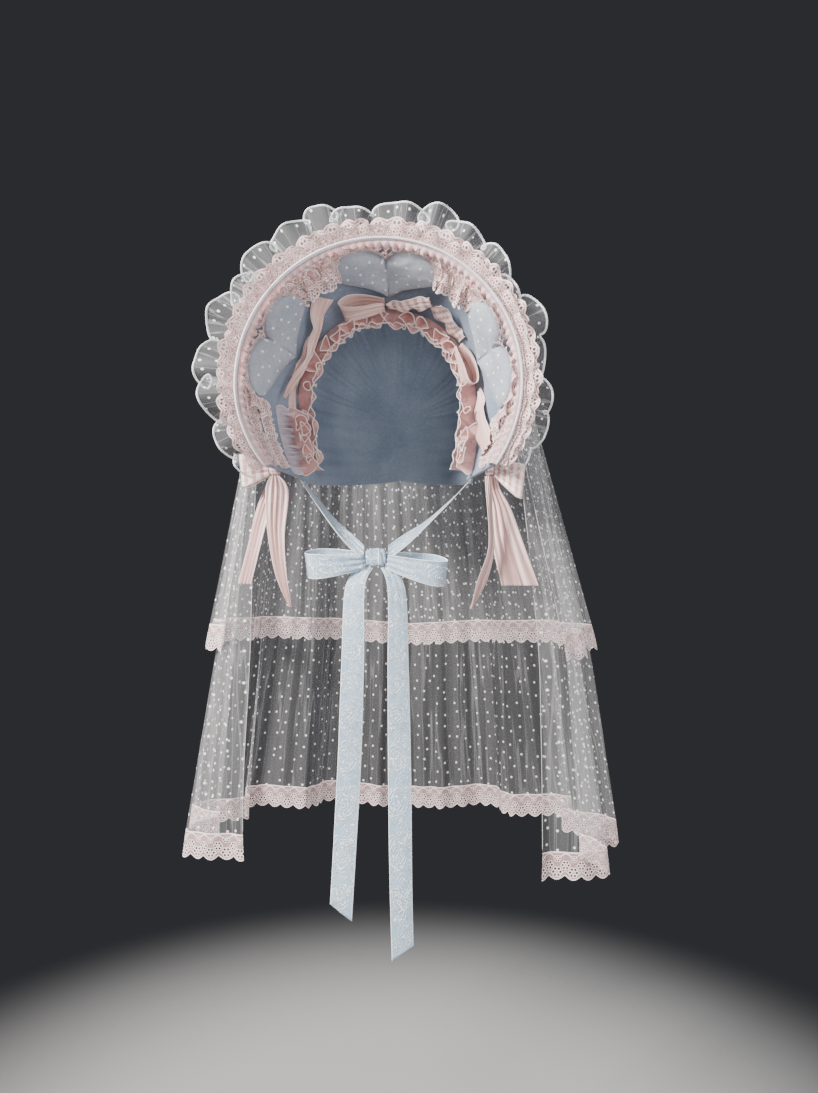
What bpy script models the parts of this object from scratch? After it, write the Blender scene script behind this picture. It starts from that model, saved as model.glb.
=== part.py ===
"""A lace-trimmed bonnet with a two-tier tulle veil and satin chin ties, in the form that it has when worn.

Units are metres. The wearer faces -Y, +X is the wearer's left and +Z is up.
The origin is the crown's inner top, where the bonnet rests on the head.
Angles are in degrees round the brim: 0 is the +X side, 90 the top and 180 the -X side.
A slope is a share of the way from the crown seam, 0, to the brim's rim, 1.
"""
from bisect import bisect_right
from math import cos, pi, radians, sin, sqrt

import bmesh
import bpy
from mathutils import Matrix, Vector

# Clearances between pieces
BUTT_GAP = 0.0005
LAYER_GAP = 0.0005

# Crown
CROWN_RADIUS = 0.0930
CROWN_DEPTH = 0.1430
CROWN_WALL = 0.0020
CROWN_PUFF = 0.10
CROWN_PLEATS = 14
CROWN_PLEAT_HEIGHT = 0.0022
NAPE_RISE = 0.12
SEAM_Y = -0.0300
SIDE_DROP = 0.0850
SIDE_PULL = 0.10

# Brim
BRIM_RIM_RADIUS = 0.1340
BRIM_DEPTH = 0.0950
BRIM_WALL = 0.0030
BRIM_END_ANGLE = 34.0
BRIM_END_EASE = 0.25
PIPING_RADIUS = 0.0020

# Ruffles round the rim
RUFFLE_WALL = 0.0010
RUFFLE_SEAT = 0.0030
TULLE_RUFFLE_LENGTH = 0.0400
TULLE_RUFFLE_FOLD = 0.0075
TULLE_RUFFLE_LEAN = 0.0090
TULLE_RUFFLE_WAVES = 20
LACE_RUFFLE_LENGTH = 0.0210
LACE_RUFFLE_FOLD = 0.0036
LACE_RUFFLE_LEAN = 0.0052
LACE_RUFFLE_WAVES = 24

# Trims on the brim's inner face
TRIM_WALL = 0.0010
TRIM_SLOPE = 0.975
TRIM_LENGTH = 0.0050
TRIM_RISE = 0.0010
TRIM_FOLD = 0.0007
TRIM_WAVES = 18
FACE_RUFFLE_LENGTH = 0.0200
FACE_RUFFLE_RISE = 0.0030
FACE_RUFFLE_FOLD = 0.0032
FACE_RUFFLE_WAVES = 18
FACE_RUFFLE_END = 31.0
FACE_RUFFLE_SLOPE = 0.02
FACE_RUFFLE_SLIP = 0.0012

# Padded hearts and their lace
HEART_HALF_WIDTH = 0.0570
HEART_HEIGHT = 0.0690
HEART_PAD = 0.0110
HEART_TOP_SLOPE = 0.895
HEART_CREASE = 0.30
HEART_MIDDLE = (0.0, -0.42)
HEART_LACE_WALL = 0.0010
HEART_LACE_WIDTH = 0.0110
HEART_LACE_RISE = 0.0045
HEART_LACE_FOLD = 0.0012
HEART_LACE_WAVES = 9
HEART_ANGLES = {"top": 87.0, "left": 156.0, "right": 18.0}

# Ribbons
RIBBON_WALL = 0.0010
PINK_RIBBON_WIDTH = 0.0250
KNOT_ROUNDING = 0.0030
LOOP_START = 0.07
BOW_LOOP_START = 0.06

# Chin ties
TIE_WIDTH = 0.0250
TIE_KNOT_SIZE = Vector((0.0220, 0.0130, 0.0190))
TIE_KNOT_PLACE = Vector((-0.0060, -0.0790, -0.2590))
TIE_LOOP_REACH = 0.0580
TIE_LOOP_BULGE = 0.0110
TIE_LOOP_LEAN = 0.0030
TIE_LOOP_FORWARD = 0.0020
TIE_LOOP_DROOP = {"left": 0.0040, "right": 0.0120}
TIE_LOOP_ROOT_DROP = 0.0030
TIE_STRAP_END_RISE = 0.0045
TIE_TAIL_SPACING = 0.0070
TIE_TAIL_FORWARD = 0.0020
TIE_TAIL_LEFT_DROP = 0.3370
TIE_TAIL_RIGHT_DROP = 0.3750
TIE_END_CUT = 0.0150

# Side bows
BOW_KNOT_SIZE = Vector((0.0090, 0.0110, 0.0120))
BOW_SLOPE = {"left": 0.62, "right": 0.50}
BOW_ANGLE = 32.0
BOW_LOOP_REACH = 0.0280
BOW_LOOP_BULGE = 0.0075
BOW_LOOP_WIDTH = 0.0325
BOW_LOOP_FORWARD = {"left": 0.0040, "right": 0.0160}
BOW_DROOP = {"left": 0.0020, "right": 0.0140}
BOW_KNOT_STAND = 0.0056
BOW_TAIL_LONG_DROP = 0.1300
BOW_TAIL_SHORT_DROP = 0.1080

# Veil
VEIL_WALL = 0.0010
VEIL_SLOPE = 0.30
VEIL_SEAT_GAP = 0.0002
VEIL_FRONT_ANGLE = 34.0
VEIL_TIER_GAP = 0.0018
VEIL_CAP_FACETS = 8
VEIL_CAP_HALF_WIDTH = 0.1495
VEIL_CAP_DEPTH = 0.1300
VEIL_FOLDS = 4
VEIL_FOLD_HEIGHT = 0.0210
VEIL_FOLD_START = 0.22
VEIL_LACE_WIDTH = 0.0280
VEIL_BACK_DIP = 0.0200
VEIL_BACK_SHIFT = 0.0100
VEIL_HEM_TILT = 0.0115
UPPER_TIER_HEM = 0.2640
UPPER_TIER_HALF_WIDTH = 0.2060
UPPER_TIER_DEPTH = 0.1720
UPPER_TIER_CURL = 0.0
UPPER_TIER_SWAY = 0.0085
LOWER_TIER_HEM = 0.4760
LOWER_TIER_HALF_WIDTH = 0.2200
LOWER_TIER_DEPTH = 0.1750
LOWER_TIER_CURL = 8.0
LOWER_TIER_SWAY = 0.0105

# The brim's middle level, set so that the crown's inner top, a pleat that is level there, lies at the origin
CENTRE_Z = CROWN_WALL / 2 - CROWN_RADIUS - CROWN_PLEAT_HEIGHT

# Facets
BRIM_FACETS = 40
HEART_FACETS = 24
FACETS_PER_PLEAT = 4
FACETS_PER_WAVE = 4

# Length of the rim ruffles round the brim, as a share of their full length
RIM_SPREAD = (
    # angle, tulle, lace
    (-34.0, 0.55, 0.60),
    (-18.0, 0.74, 0.84),
    (0.0, 0.68, 0.90),
    (45.0, 0.80, 0.95),
    (65.0, 0.94, 0.95),
    (90.0, 1.04, 0.95),
    (135.0, 1.07, 0.95),
    (180.0, 1.00, 0.95),
    (200.0, 0.78, 0.84),
    (214.0, 0.55, 0.60),
)

# How far the sheet stands off the crown, as shares of the veil's depth and of its seat radius
VEIL_CAP = (
    # depth, height
    (0.00, 1.00),
    (0.36, 0.90),
    (0.57, 0.82),
    (0.72, 0.70),
    (0.84, 0.54),
    (0.92, 0.38),
    (1.00, 0.00),
)

# How each tier widens and sways on its way down, as shares of its own amounts; the lower tier first
VEIL_SPREAD = (
    (
        # fall, width, sway
        (0.00, 0.00, 0.00),
        (0.27, 0.31, 0.50),
        (0.54, 0.62, 1.00),
        (1.00, 1.00, 0.75),
    ),
    (
        (0.00, 0.00, 0.00),
        (0.50, 0.50, 0.50),
        (1.00, 1.00, 1.00),
    ),
)

# The heart's pad from its middle to its edge
HEART_RINGS = (
    # reach, height
    (0.45, 0.96),
    (0.78, 0.74),
    (0.95, 0.42),
    (1.00, 0.12),
)

# Width of the lace round a heart as a share of its full width: 0 is the cleft, 1 the lace's end
HEART_LACE_SPREAD = (
    # place, width
    (0.00, 0.80),
    (0.35, 0.70),
    (0.75, 0.95),
    (1.00, 1.15),
)

# Ribbons that lie on the brim's inner face; rise and width are shares of the ribbon's width
GARLAND = {
    "garland_left": (
        # angle, slope, rise, width
        (122.0, 0.50, 0.02, 0.90),
        (130.0, 0.38, 0.16, 0.75),
        (137.0, 0.27, 0.30, 0.40),
        (150.0, 0.20, 0.42, 0.45),
        (165.0, 0.24, 0.50, 0.40),
        (182.0, 0.40, 0.30, 0.06),
    ),
    "garland_left_under": (
        (141.0, 0.17, 0.02, 0.40),
        (156.0, 0.13, 0.00, 0.45),
        (172.0, 0.14, 0.00, 0.50),
        (189.0, 0.18, 0.06, 0.20),
    ),
    "garland_band": (
        (87.0, 0.21, 0.38, 0.50),
        (78.0, 0.28, 0.52, 0.60),
        (68.0, 0.37, 0.50, 0.65),
        (61.0, 0.43, 0.36, 0.60),
    ),
    "garland_right": (
        (59.0, 0.40, 0.30, 0.85),
        (51.0, 0.28, 0.20, 0.90),
        (43.0, 0.19, 0.07, 0.80),
        (36.0, 0.17, 0.00, 0.70),
    ),
    "garland_right_tail": (
        (2.0, 0.15, 0.00, 0.60),
        (-7.0, 0.22, 0.10, 0.80),
        (-16.0, 0.37, 0.16, 0.90),
        (-26.0, 0.60, 0.10, 1.00),
    ),
}

# Loops on the brim's inner face, from their knot; rise and width are shares of the ribbon's width
GARLAND_LOOPS = {
    # name: (angle, slope, turn, climb, rise, width)
    "garland_loop_top": (90.0, 0.21, 27.0, 0.05, 0.00, 1.10),
    "garland_loop_right": (33.5, 0.165, -27.0, 0.00, 0.09, 0.72),
}

# Ribbon ends that hang from the side bows; sideways and forward are shares of the drop
BOW_TAILS = {
    # name: (side, long, rows of down, sideways, forward, facing, width)
    "side_bow_left_tail_long": (-1, True, (
        (0.00, -0.01, 0.016, -10.0, 0.36),
        (0.12, -0.04, 0.08, -15.0, 0.90),
        (0.45, -0.05, 0.15, 15.0, 0.75),
        (0.75, -0.09, 0.17, 30.0, 0.60),
        (1.00, -0.16, 0.17, 20.0, 0.10),
    )),
    "side_bow_left_tail_short": (-1, False, (
        (0.00, 0.02, -0.035, 10.0, 0.30),
        (0.15, 0.06, -0.03, 10.0, 0.50),
        (0.35, 0.10, 0.06, 30.0, 0.75),
        (0.65, 0.16, 0.12, 40.0, 0.85),
        (1.00, 0.24, 0.16, 30.0, 0.70),
    )),
    "side_bow_right_tail_thin": (1, True, (
        (0.00, -0.01, 0.014, 20.0, 0.25),
        (0.25, 0.00, 0.13, 60.0, 0.40),
        (0.55, 0.01, 0.18, 60.0, 0.45),
        (0.80, -0.06, 0.20, 50.0, 0.55),
        (1.00, -0.14, 0.20, 60.0, 0.06),
    )),
    "side_bow_right_tail_broad": (1, False, (
        (0.00, 0.02, -0.035, 10.0, 0.40),
        (0.12, 0.04, -0.10, 5.0, 0.55),
        (0.30, 0.10, -0.04, 5.0, 0.85),
        (0.60, 0.16, 0.10, 0.0, 1.20),
        (1.00, 0.27, 0.17, -5.0, 1.45),
    )),
}

# Chin ties from the brim's ends to the knot; down, in and forward are shares of the way between the two
STRAP = (
    # down, in, forward, width, turn of the width from fore-and-aft to upright
    (0.00, 0.00, 0.00, 0.80, 0.0),
    (0.30, 0.26, 0.30, 1.00, 8.0),
    (0.68, 0.62, 0.72, 1.00, 22.0),
    (1.00, 1.00, 1.00, 0.60, 66.0),
)

# Ends of the chin ties; sideways and forward are shares of the drop
TIE_TAILS = {
    "tie_tail_left": (
        # down, sideways, forward, facing, width
        (0.000, -0.010, 0.000, -8.0, 0.60),
        (0.060, -0.038, 0.022, -14.0, 0.82),
        (0.250, -0.042, 0.034, -6.0, 0.90),
        (0.550, -0.052, 0.032, 4.0, 0.92),
        (0.800, -0.065, 0.036, -5.0, 0.92),
        (1.000, -0.077, 0.034, -8.0, 0.92),
    ),
    "tie_tail_right": (
        (0.000, 0.012, 0.000, 8.0, 0.50),
        (0.060, 0.038, 0.018, 16.0, 0.70),
        (0.250, 0.043, 0.030, 10.0, 0.82),
        (0.550, 0.047, 0.028, 4.0, 0.90),
        (0.800, 0.050, 0.030, 6.0, 0.88),
        (1.000, 0.055, 0.032, 10.0, 0.86),
    ),
}

COLOURS = {
    "blue_cloth": ((0.50, 0.56, 0.63), 0.75),
    "blue_satin": ((0.55, 0.66, 0.77), 0.35),
    "white_tulle": ((0.86, 0.84, 0.83), 0.80),
    "white_cord": ((0.92, 0.91, 0.91), 0.60),
    "pink_lace": ((0.82, 0.62, 0.59), 0.80),
    "pink_organza": ((0.72, 0.46, 0.43), 0.55),
    "pink_satin": ((0.70, 0.44, 0.40), 0.35),
}


def between(table, value, column=1):
    """Straight interpolation of one column of a table whose first column rises."""
    places = [row[0] for row in table]
    value = min(max(value, places[0]), places[-1])
    at = min(bisect_right(places, value), len(table) - 1)
    low, high = table[at - 1], table[at]
    share = (value - low[0]) / (high[0] - low[0])
    return low[column] + (high[column] - low[column]) * share


def steps(count, low=0.0, high=1.0):
    """count + 1 even values from low to high."""
    return [low + (high - low) * index / count for index in range(count + 1)]


def new_object(name, work, colour):
    """Turns a bmesh into a named object with a material of its own."""
    mesh = bpy.data.meshes.new(name)
    work.to_mesh(mesh)
    work.free()
    body = bpy.data.objects.new(name, mesh)
    bpy.context.scene.collection.objects.link(body)
    tone, roughness = COLOURS[colour]
    material = bpy.data.materials.new(name + "_" + colour)
    material.use_nodes = True
    shader = material.node_tree.nodes["Principled BSDF"]
    shader.inputs["Base Color"].default_value = (*tone, 1.0)
    shader.inputs["Roughness"].default_value = roughness
    mesh.materials.append(material)
    return body


def cloth(name, rows, wall, colour):
    """A closed wall of even thickness round a sheet that is given as rows of points."""
    work = bmesh.new()
    grid = [[work.verts.new(point) for point in row] for row in rows]
    for low, high in zip(grid, grid[1:]):
        for corner in range(len(low) - 1):
            work.faces.new((low[corner], low[corner + 1], high[corner + 1], high[corner]))
    bmesh.ops.remove_doubles(work, verts=work.verts, dist=0.00005)
    body = new_object(name, work, colour)
    solidify = body.modifiers.new("wall", "SOLIDIFY")
    solidify.thickness = wall
    solidify.offset = 0.0
    return body


def below(angle):
    """How far an angle lies down the brim's straight sides: 0 at the middle level, 1 at the brim's ends."""
    return max(0.0, -angle, angle - 180.0) / BRIM_END_ANGLE


def side_of(angle):
    """Which side of the head an angle lies on."""
    return 1 if angle < 90 else -1


def seam_point(angle):
    """The crown seam: a half circle that runs on down both sides of the face."""
    drop = below(angle)
    if drop == 0:
        return Vector((CROWN_RADIUS * cos(radians(angle)), SEAM_Y, CENTRE_Z + CROWN_RADIUS * sin(radians(angle))))
    return Vector((side_of(angle) * CROWN_RADIUS * (1 - SIDE_PULL * drop ** 2), SEAM_Y, CENTRE_Z - SIDE_DROP * drop))


def rim_point(angle):
    """The brim's outer edge: an arc in front of the seam, which comes back a little at its ends."""
    turn = radians(angle)
    forward = BRIM_DEPTH * (1 - BRIM_END_EASE * below(angle) ** 2)
    return Vector((BRIM_RIM_RADIUS * cos(turn), SEAM_Y - forward, CENTRE_Z + BRIM_RIM_RADIUS * sin(turn)))


def up_slope(angle):
    """From the seam to the rim, as a unit vector."""
    return (rim_point(angle) - seam_point(angle)).normalized()


def round_brim(angle, slope):
    """Along the brim towards greater angles, as a unit vector."""
    ahead = seam_point(angle + 1).lerp(rim_point(angle + 1), slope)
    behind = seam_point(angle - 1).lerp(rim_point(angle - 1), slope)
    return (ahead - behind).normalized()


def edge_out(angle):
    """Square to the brim's rim and away from it, in the brim's own surface."""
    along = round_brim(angle, 1.0)
    out = up_slope(angle)
    return (out - along * out.dot(along)).normalized()


def inward(angle, slope):
    """Out of the brim's inner face, as a unit vector."""
    return up_slope(angle).cross(round_brim(angle, slope)).normalized()


def on_brim(angle, slope, rise=0.0):
    """A point over the brim's middle surface: a positive rise is inside the brim, a negative one outside it."""
    middle = seam_point(angle).lerp(rim_point(angle), slope)
    return middle + inward(angle, slope) * rise


def radial(angle):
    """Away from the brim's axis, as a unit vector."""
    return Vector((cos(radians(angle)), 0.0, sin(radians(angle))))


def crown_point(angle, turn):
    """The crown's middle surface: turn runs from the seam, 0, to the back of the head, 1."""
    bend = radians(90.0 * turn)
    drop = below(angle)
    reach = CROWN_RADIUS * cos(bend) * (1 + CROWN_PUFF * sin(2 * bend))
    place = (angle + BRIM_END_ANGLE) / (180.0 + 2 * BRIM_END_ANGLE)
    reach += CROWN_PLEAT_HEIGHT * (1 - turn) * cos(2 * pi * CROWN_PLEATS * place)
    y = SEAM_Y + BUTT_GAP + BRIM_WALL / 4 + CROWN_DEPTH * sin(bend)
    if drop == 0:
        return Vector((reach * cos(radians(angle)), y, CENTRE_Z + reach * sin(radians(angle))))
    width = reach * (1 - SIDE_PULL * drop ** 2) if turn < 1 else 0.0
    fall = SIDE_DROP * drop * (1 - NAPE_RISE * turn ** 2)
    return Vector((side_of(angle) * width, y, CENTRE_Z - fall))


def round_angles(count, end=BRIM_END_ANGLE):
    """Even angles from one end of the brim to the other."""
    return steps(count, -end, 180.0 + end)


def build_crown():
    """The soft dome behind the seam, gathered into pleats along it."""
    angles = round_angles(CROWN_PLEATS * FACETS_PER_PLEAT)
    rows = [[crown_point(angle, turn if turn < 1 else 1) for turn in steps(5)] for angle in angles]
    for row, angle in zip(rows, angles):
        if below(angle) == 0:
            row[-1] = Vector((0.0, row[-1].y, CENTRE_Z))
    cloth("crown", rows, CROWN_WALL, "blue_cloth")


def build_brim():
    """The stiff flaring brim."""
    rows = [[on_brim(angle, slope) for slope in steps(2)] for angle in round_angles(BRIM_FACETS)]
    cloth("brim", rows, BRIM_WALL, "blue_cloth")


def build_piping():
    """The white cord along the brim's rim."""
    path = [rim_point(angle) + edge_out(angle) * (BUTT_GAP + PIPING_RADIUS) for angle in round_angles(BRIM_FACETS)]
    work = bmesh.new()
    rings = []
    for index, centre in enumerate(path):
        along = (path[min(index + 1, len(path) - 1)] - path[max(index - 1, 0)]).normalized()
        out = along.cross(Vector((0.0, 1.0, 0.0))).normalized()
        front = along.cross(out)
        ring = []
        for side in range(6):
            turn = 2 * pi * side / 6
            ring.append(work.verts.new(centre + (out * cos(turn) + front * sin(turn)) * PIPING_RADIUS))
        rings.append(ring)
    for low, high in zip(rings, rings[1:]):
        for side in range(6):
            work.faces.new((low[side], low[side - 1], high[side - 1], high[side]))
    work.faces.new(rings[0])
    work.faces.new(list(reversed(rings[-1])))
    bmesh.ops.recalc_face_normals(work, faces=work.faces)
    new_object("brim_piping", work, "white_cord")


def ruffle_rows(count, waves, levels, place_at):
    """Rows of a gathered strip; place_at gives its base, reach, lean and fold vectors and a phase shift."""
    rows = []
    for share in steps(count):
        base, reach, lean, fold, slip = place_at(share)
        phase = 2 * pi * (waves * share + 0.22 * sin(2 * pi * 3 * share) + 0.10 * sin(2 * pi * 7 * share))
        row = []
        for level in levels:
            swing = level * cos(phase)
            shorten = 1 - 0.10 * level * cos(phase) ** 2
            row.append(base + reach * level * shorten + lean * level + fold * swing + slip * level * sin(2 * phase))
        rows.append(row)
    return rows


def build_rim_ruffle(name, waves, length, fold, lean, column, layer, colour):
    """A ruffle that is sewn round the back of the rim and stands out past it."""
    def place_at(share):
        angle = -BRIM_END_ANGLE + share * (180.0 + 2 * BRIM_END_ANGLE)
        seat = BRIM_WALL / 2 + LAYER_GAP + RUFFLE_WALL / 2
        base = on_brim(angle, 1.0, -seat) - edge_out(angle) * RUFFLE_SEAT
        base.y += layer * (RUFFLE_WALL + LAYER_GAP)
        spread = between(RIM_SPREAD, angle, column)
        lift = Vector((0.0, spread, 0.0))
        along = round_brim(angle, 1.0) * spread
        return base, radial(angle) * length * spread, lift * lean, lift * fold, along * fold * 0.35

    rows = ruffle_rows(waves * (FACETS_PER_WAVE + layer), waves, steps(2), place_at)
    cloth(name, rows, RUFFLE_WALL, colour)


def build_inner_trim():
    """The narrow gathered band just inside the piping."""
    def place_at(share):
        angle = -BRIM_END_ANGLE + share * (180.0 + 2 * BRIM_END_ANGLE)
        seat = BRIM_WALL / 2 + LAYER_GAP + TRIM_WALL / 2
        base = on_brim(angle, TRIM_SLOPE, seat)
        up = inward(angle, TRIM_SLOPE)
        return base, up_slope(angle) * -TRIM_LENGTH, up * TRIM_RISE, up * TRIM_FOLD, Vector()

    rows = ruffle_rows(TRIM_WAVES * 3, TRIM_WAVES, steps(1), place_at)
    cloth("brim_inner_trim", rows, TRIM_WALL, "pink_organza")


def build_face_ruffle():
    """The organza ruffle round the face opening."""
    def place_at(share):
        angle = -FACE_RUFFLE_END + share * (180.0 + 2 * FACE_RUFFLE_END)
        seat = BRIM_WALL / 2 + LAYER_GAP
        base = on_brim(angle, FACE_RUFFLE_SLOPE, seat)
        inside = inward(angle, FACE_RUFFLE_SLOPE)
        along = round_brim(angle, FACE_RUFFLE_SLOPE)
        forward = up_slope(angle)
        depth = sqrt(FACE_RUFFLE_LENGTH ** 2 - FACE_RUFFLE_RISE ** 2)
        turned = (inside * depth + forward * FACE_RUFFLE_RISE).normalized()
        fold = turned.cross(along).normalized() * FACE_RUFFLE_FOLD
        return base, turned * FACE_RUFFLE_LENGTH, Vector(), fold, along * FACE_RUFFLE_SLIP

    rows = ruffle_rows(FACE_RUFFLE_WAVES * FACETS_PER_WAVE, FACE_RUFFLE_WAVES, steps(2), place_at)
    cloth("face_ruffle", rows, RUFFLE_WALL, "pink_organza")


def heart_outline(turn):
    """A heart's edge as shares of its half width and height; turn is 0 at the cleft and pi at the tip."""
    side = sin(turn) ** 3
    up = 13 * cos(turn) - 5 * cos(2 * turn) - 2 * cos(3 * turn) - cos(4 * turn)
    return side, (up - 12) / 29


def on_heart(angle, side, up, rise):
    """A point over the brim's inner face, from a heart's own shares across and up the slope."""
    slope_length = (rim_point(angle) - seam_point(angle)).length
    slope = HEART_TOP_SLOPE + up * HEART_HEIGHT / slope_length
    width = CROWN_RADIUS + (BRIM_RIM_RADIUS - CROWN_RADIUS) * slope
    turned = angle + side * HEART_HALF_WIDTH / width * 180.0 / pi
    return on_brim(turned, slope, BRIM_WALL / 2 + rise)


def heart_place(angle, turn, reach, rise):
    """A point at a share of the way from the heart's middle to its edge."""
    side, up = heart_outline(turn)
    return on_heart(angle, HEART_MIDDLE[0] + (side - HEART_MIDDLE[0]) * reach,
                    HEART_MIDDLE[1] + (up - HEART_MIDDLE[1]) * reach, rise)


def heart_span(turn):
    """The real distance from a heart's middle to its edge."""
    side, up = heart_outline(turn)
    return sqrt((side * HEART_HALF_WIDTH) ** 2 + ((up - HEART_MIDDLE[1]) * HEART_HEIGHT) ** 2)


def build_heart(name, angle):
    """A padded heart whose flat back follows the brim and whose front swells round a crease."""
    work = bmesh.new()
    count = HEART_FACETS
    turns = [2 * pi * index / count for index in range(count)]
    rings = []
    for reach, height in ((0.60, 0.0), (1.00, 0.0)) + tuple(reversed(HEART_RINGS)):
        ring = []
        for turn in turns:
            crease = 1 - HEART_CREASE * (1 - min(1.0, abs(sin(turn)) * 1.8)) * (height > 0)
            rise = LAYER_GAP + HEART_PAD * height * crease
            ring.append(work.verts.new(heart_place(angle, turn, reach, rise)))
        rings.append(ring)
    back = work.verts.new(on_heart(angle, *HEART_MIDDLE, LAYER_GAP))
    front = work.verts.new(on_heart(angle, *HEART_MIDDLE, LAYER_GAP + HEART_PAD * (1 - HEART_CREASE / 2)))
    for low, high in zip(rings, rings[1:]):
        for index in range(count):
            work.faces.new((low[index], low[index - 1], high[index - 1], high[index]))
    for index in range(count):
        work.faces.new((back, rings[0][index - 1], rings[0][index]))
        work.faces.new((front, rings[-1][index], rings[-1][index - 1]))
    bmesh.ops.recalc_face_normals(work, faces=work.faces)
    new_object("heart_" + name, work, "blue_cloth")


def build_heart_lace(name, angle):
    """The frill round a heart's lobes, which ends in a longer flap at each corner."""
    rows = []
    count = 26
    for place in steps(count, -1.0, 1.0):
        turn = place * count * pi / HEART_FACETS / 2
        wave = HEART_LACE_FOLD * cos(2 * pi * HEART_LACE_WAVES * place)
        row = []
        for level in steps(2):
            out = LAYER_GAP + 1.5 * HEART_LACE_WALL + HEART_LACE_WIDTH * between(HEART_LACE_SPREAD, abs(place)) * level
            reach = 1 + out / heart_span(turn)
            rise = LAYER_GAP + HEART_LACE_WALL + (HEART_LACE_RISE + wave) * level
            row.append(heart_place(angle, turn, reach, rise + HEART_LACE_WALL))
        rows.append(row)
    cloth("heart_lace_" + name, rows, HEART_LACE_WALL, "pink_lace")


def ribbon(name, centres, acrosses, colour, cut=0.0):
    """A ribbon through its centres, each with the vector of its half width; cut slants its last end."""
    rows = []
    for index, (centre, across) in enumerate(zip(centres, acrosses)):
        skew = Vector()
        if cut and index == len(centres) - 1:
            skew = (centre - centres[index - 1]).normalized() * cut / 2
        rows.append([centre - across - skew, centre + across + skew])
    cloth(name, rows, RIBBON_WALL, colour)


def eased(table, count):
    """A table's columns at even shares of its length, on a smooth curve through its rows."""
    rows = []
    for place in steps(count, 0.0, len(table) - 1):
        at = min(int(place), len(table) - 2)
        share = place - at
        near = [table[min(max(at + offset, 0), len(table) - 1)] for offset in (-1, 0, 1, 2)]
        row = []
        for before, low, high, after in zip(*near):
            pull, push = (high - before) / 2, (after - low) / 2
            row.append((2 * share ** 3 - 3 * share ** 2 + 1) * low + (share ** 3 - 2 * share ** 2 + share) * pull
                       + (3 * share ** 2 - 2 * share ** 3) * high + (share ** 3 - share ** 2) * push)
        rows.append(row)
    return rows


def build_garland(name, table):
    """A ribbon laid along the brim's inner face."""
    rows = eased(table, 9)
    centres = []
    for angle, slope, rise, width in rows:
        lift = BRIM_WALL / 2 + LAYER_GAP + RIBBON_WALL / 2 + PINK_RIBBON_WIDTH * rise
        centres.append(on_brim(angle, slope, lift))
    acrosses = []
    for index, (angle, slope, rise, width) in enumerate(rows):
        along = centres[min(index + 1, len(rows) - 1)] - centres[max(index - 1, 0)]
        across = inward(angle, slope).cross(along).normalized()
        acrosses.append(across * PINK_RIBBON_WIDTH * width / 2)
    ribbon(name, centres, acrosses, "pink_satin")


def loop_path(start=LOOP_START):
    """A loop's way out from its knot and back: shares of its reach and of its bulge."""
    nearest = sin(pi * start)
    return [((sin(pi * share) - nearest) / (1 - nearest), sin(2 * pi * share))
            for share in steps(14, start, 1 - start)]


def build_loop(name, root, reach, bulge, across, root_width, end_width, colour, start=LOOP_START):
    """A bow's loop: out from its knot, round its end and back, with its width along across."""
    centres, acrosses = [], []
    for out, swell in loop_path(start):
        centres.append(root + reach * out + bulge * swell)
        acrosses.append(across * (root_width + (end_width - root_width) * out) / 2)
    ribbon(name, centres, acrosses, colour)


def build_knot(name, place, size, colour):
    """A pulled knot as a rounded block."""
    work = bmesh.new()
    bmesh.ops.create_cube(work, size=1.0, matrix=Matrix.Translation(place) @ Matrix.Diagonal((*size, 1.0)))
    bmesh.ops.bevel(work, geom=work.edges[:], offset=KNOT_ROUNDING, offset_type="OFFSET", segments=2, profile=0.5,
                    affect="EDGES", clamp_overlap=True, material=-1)
    new_object(name, work, colour)


def hanging(name, start, side, drop, table, width, colour, cut=0.0):
    """A ribbon end that hangs from start."""
    centres, acrosses = [], []
    for down, sideways, forward, facing, share in eased(table, 10):
        centres.append(start + Vector((side * sideways * drop, -forward * drop, -down * drop)))
        turn = radians(facing) * side
        acrosses.append(Vector((cos(turn), sin(turn), 0.0)) * width * share / 2)
    ribbon(name, centres, acrosses, colour, cut)


def build_garland_loops():
    """The two loops that lie on the brim, at the top of the face opening and at its right."""
    seat = BRIM_WALL / 2 + LAYER_GAP + RIBBON_WALL / 2 + BOW_LOOP_BULGE
    for name, (angle, slope, turn, climb, rise, width) in GARLAND_LOOPS.items():
        centres, acrosses = [], []
        for out, swell in loop_path():
            at, up = angle + turn * out, slope + climb * out
            centres.append(on_brim(at, up, seat + PINK_RIBBON_WIDTH * rise + BOW_LOOP_BULGE * swell))
            acrosses.append(up_slope(at) * PINK_RIBBON_WIDTH * (0.45 + (width - 0.45) * out) / 2)
        ribbon(name, centres, acrosses, "pink_satin")


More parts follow.
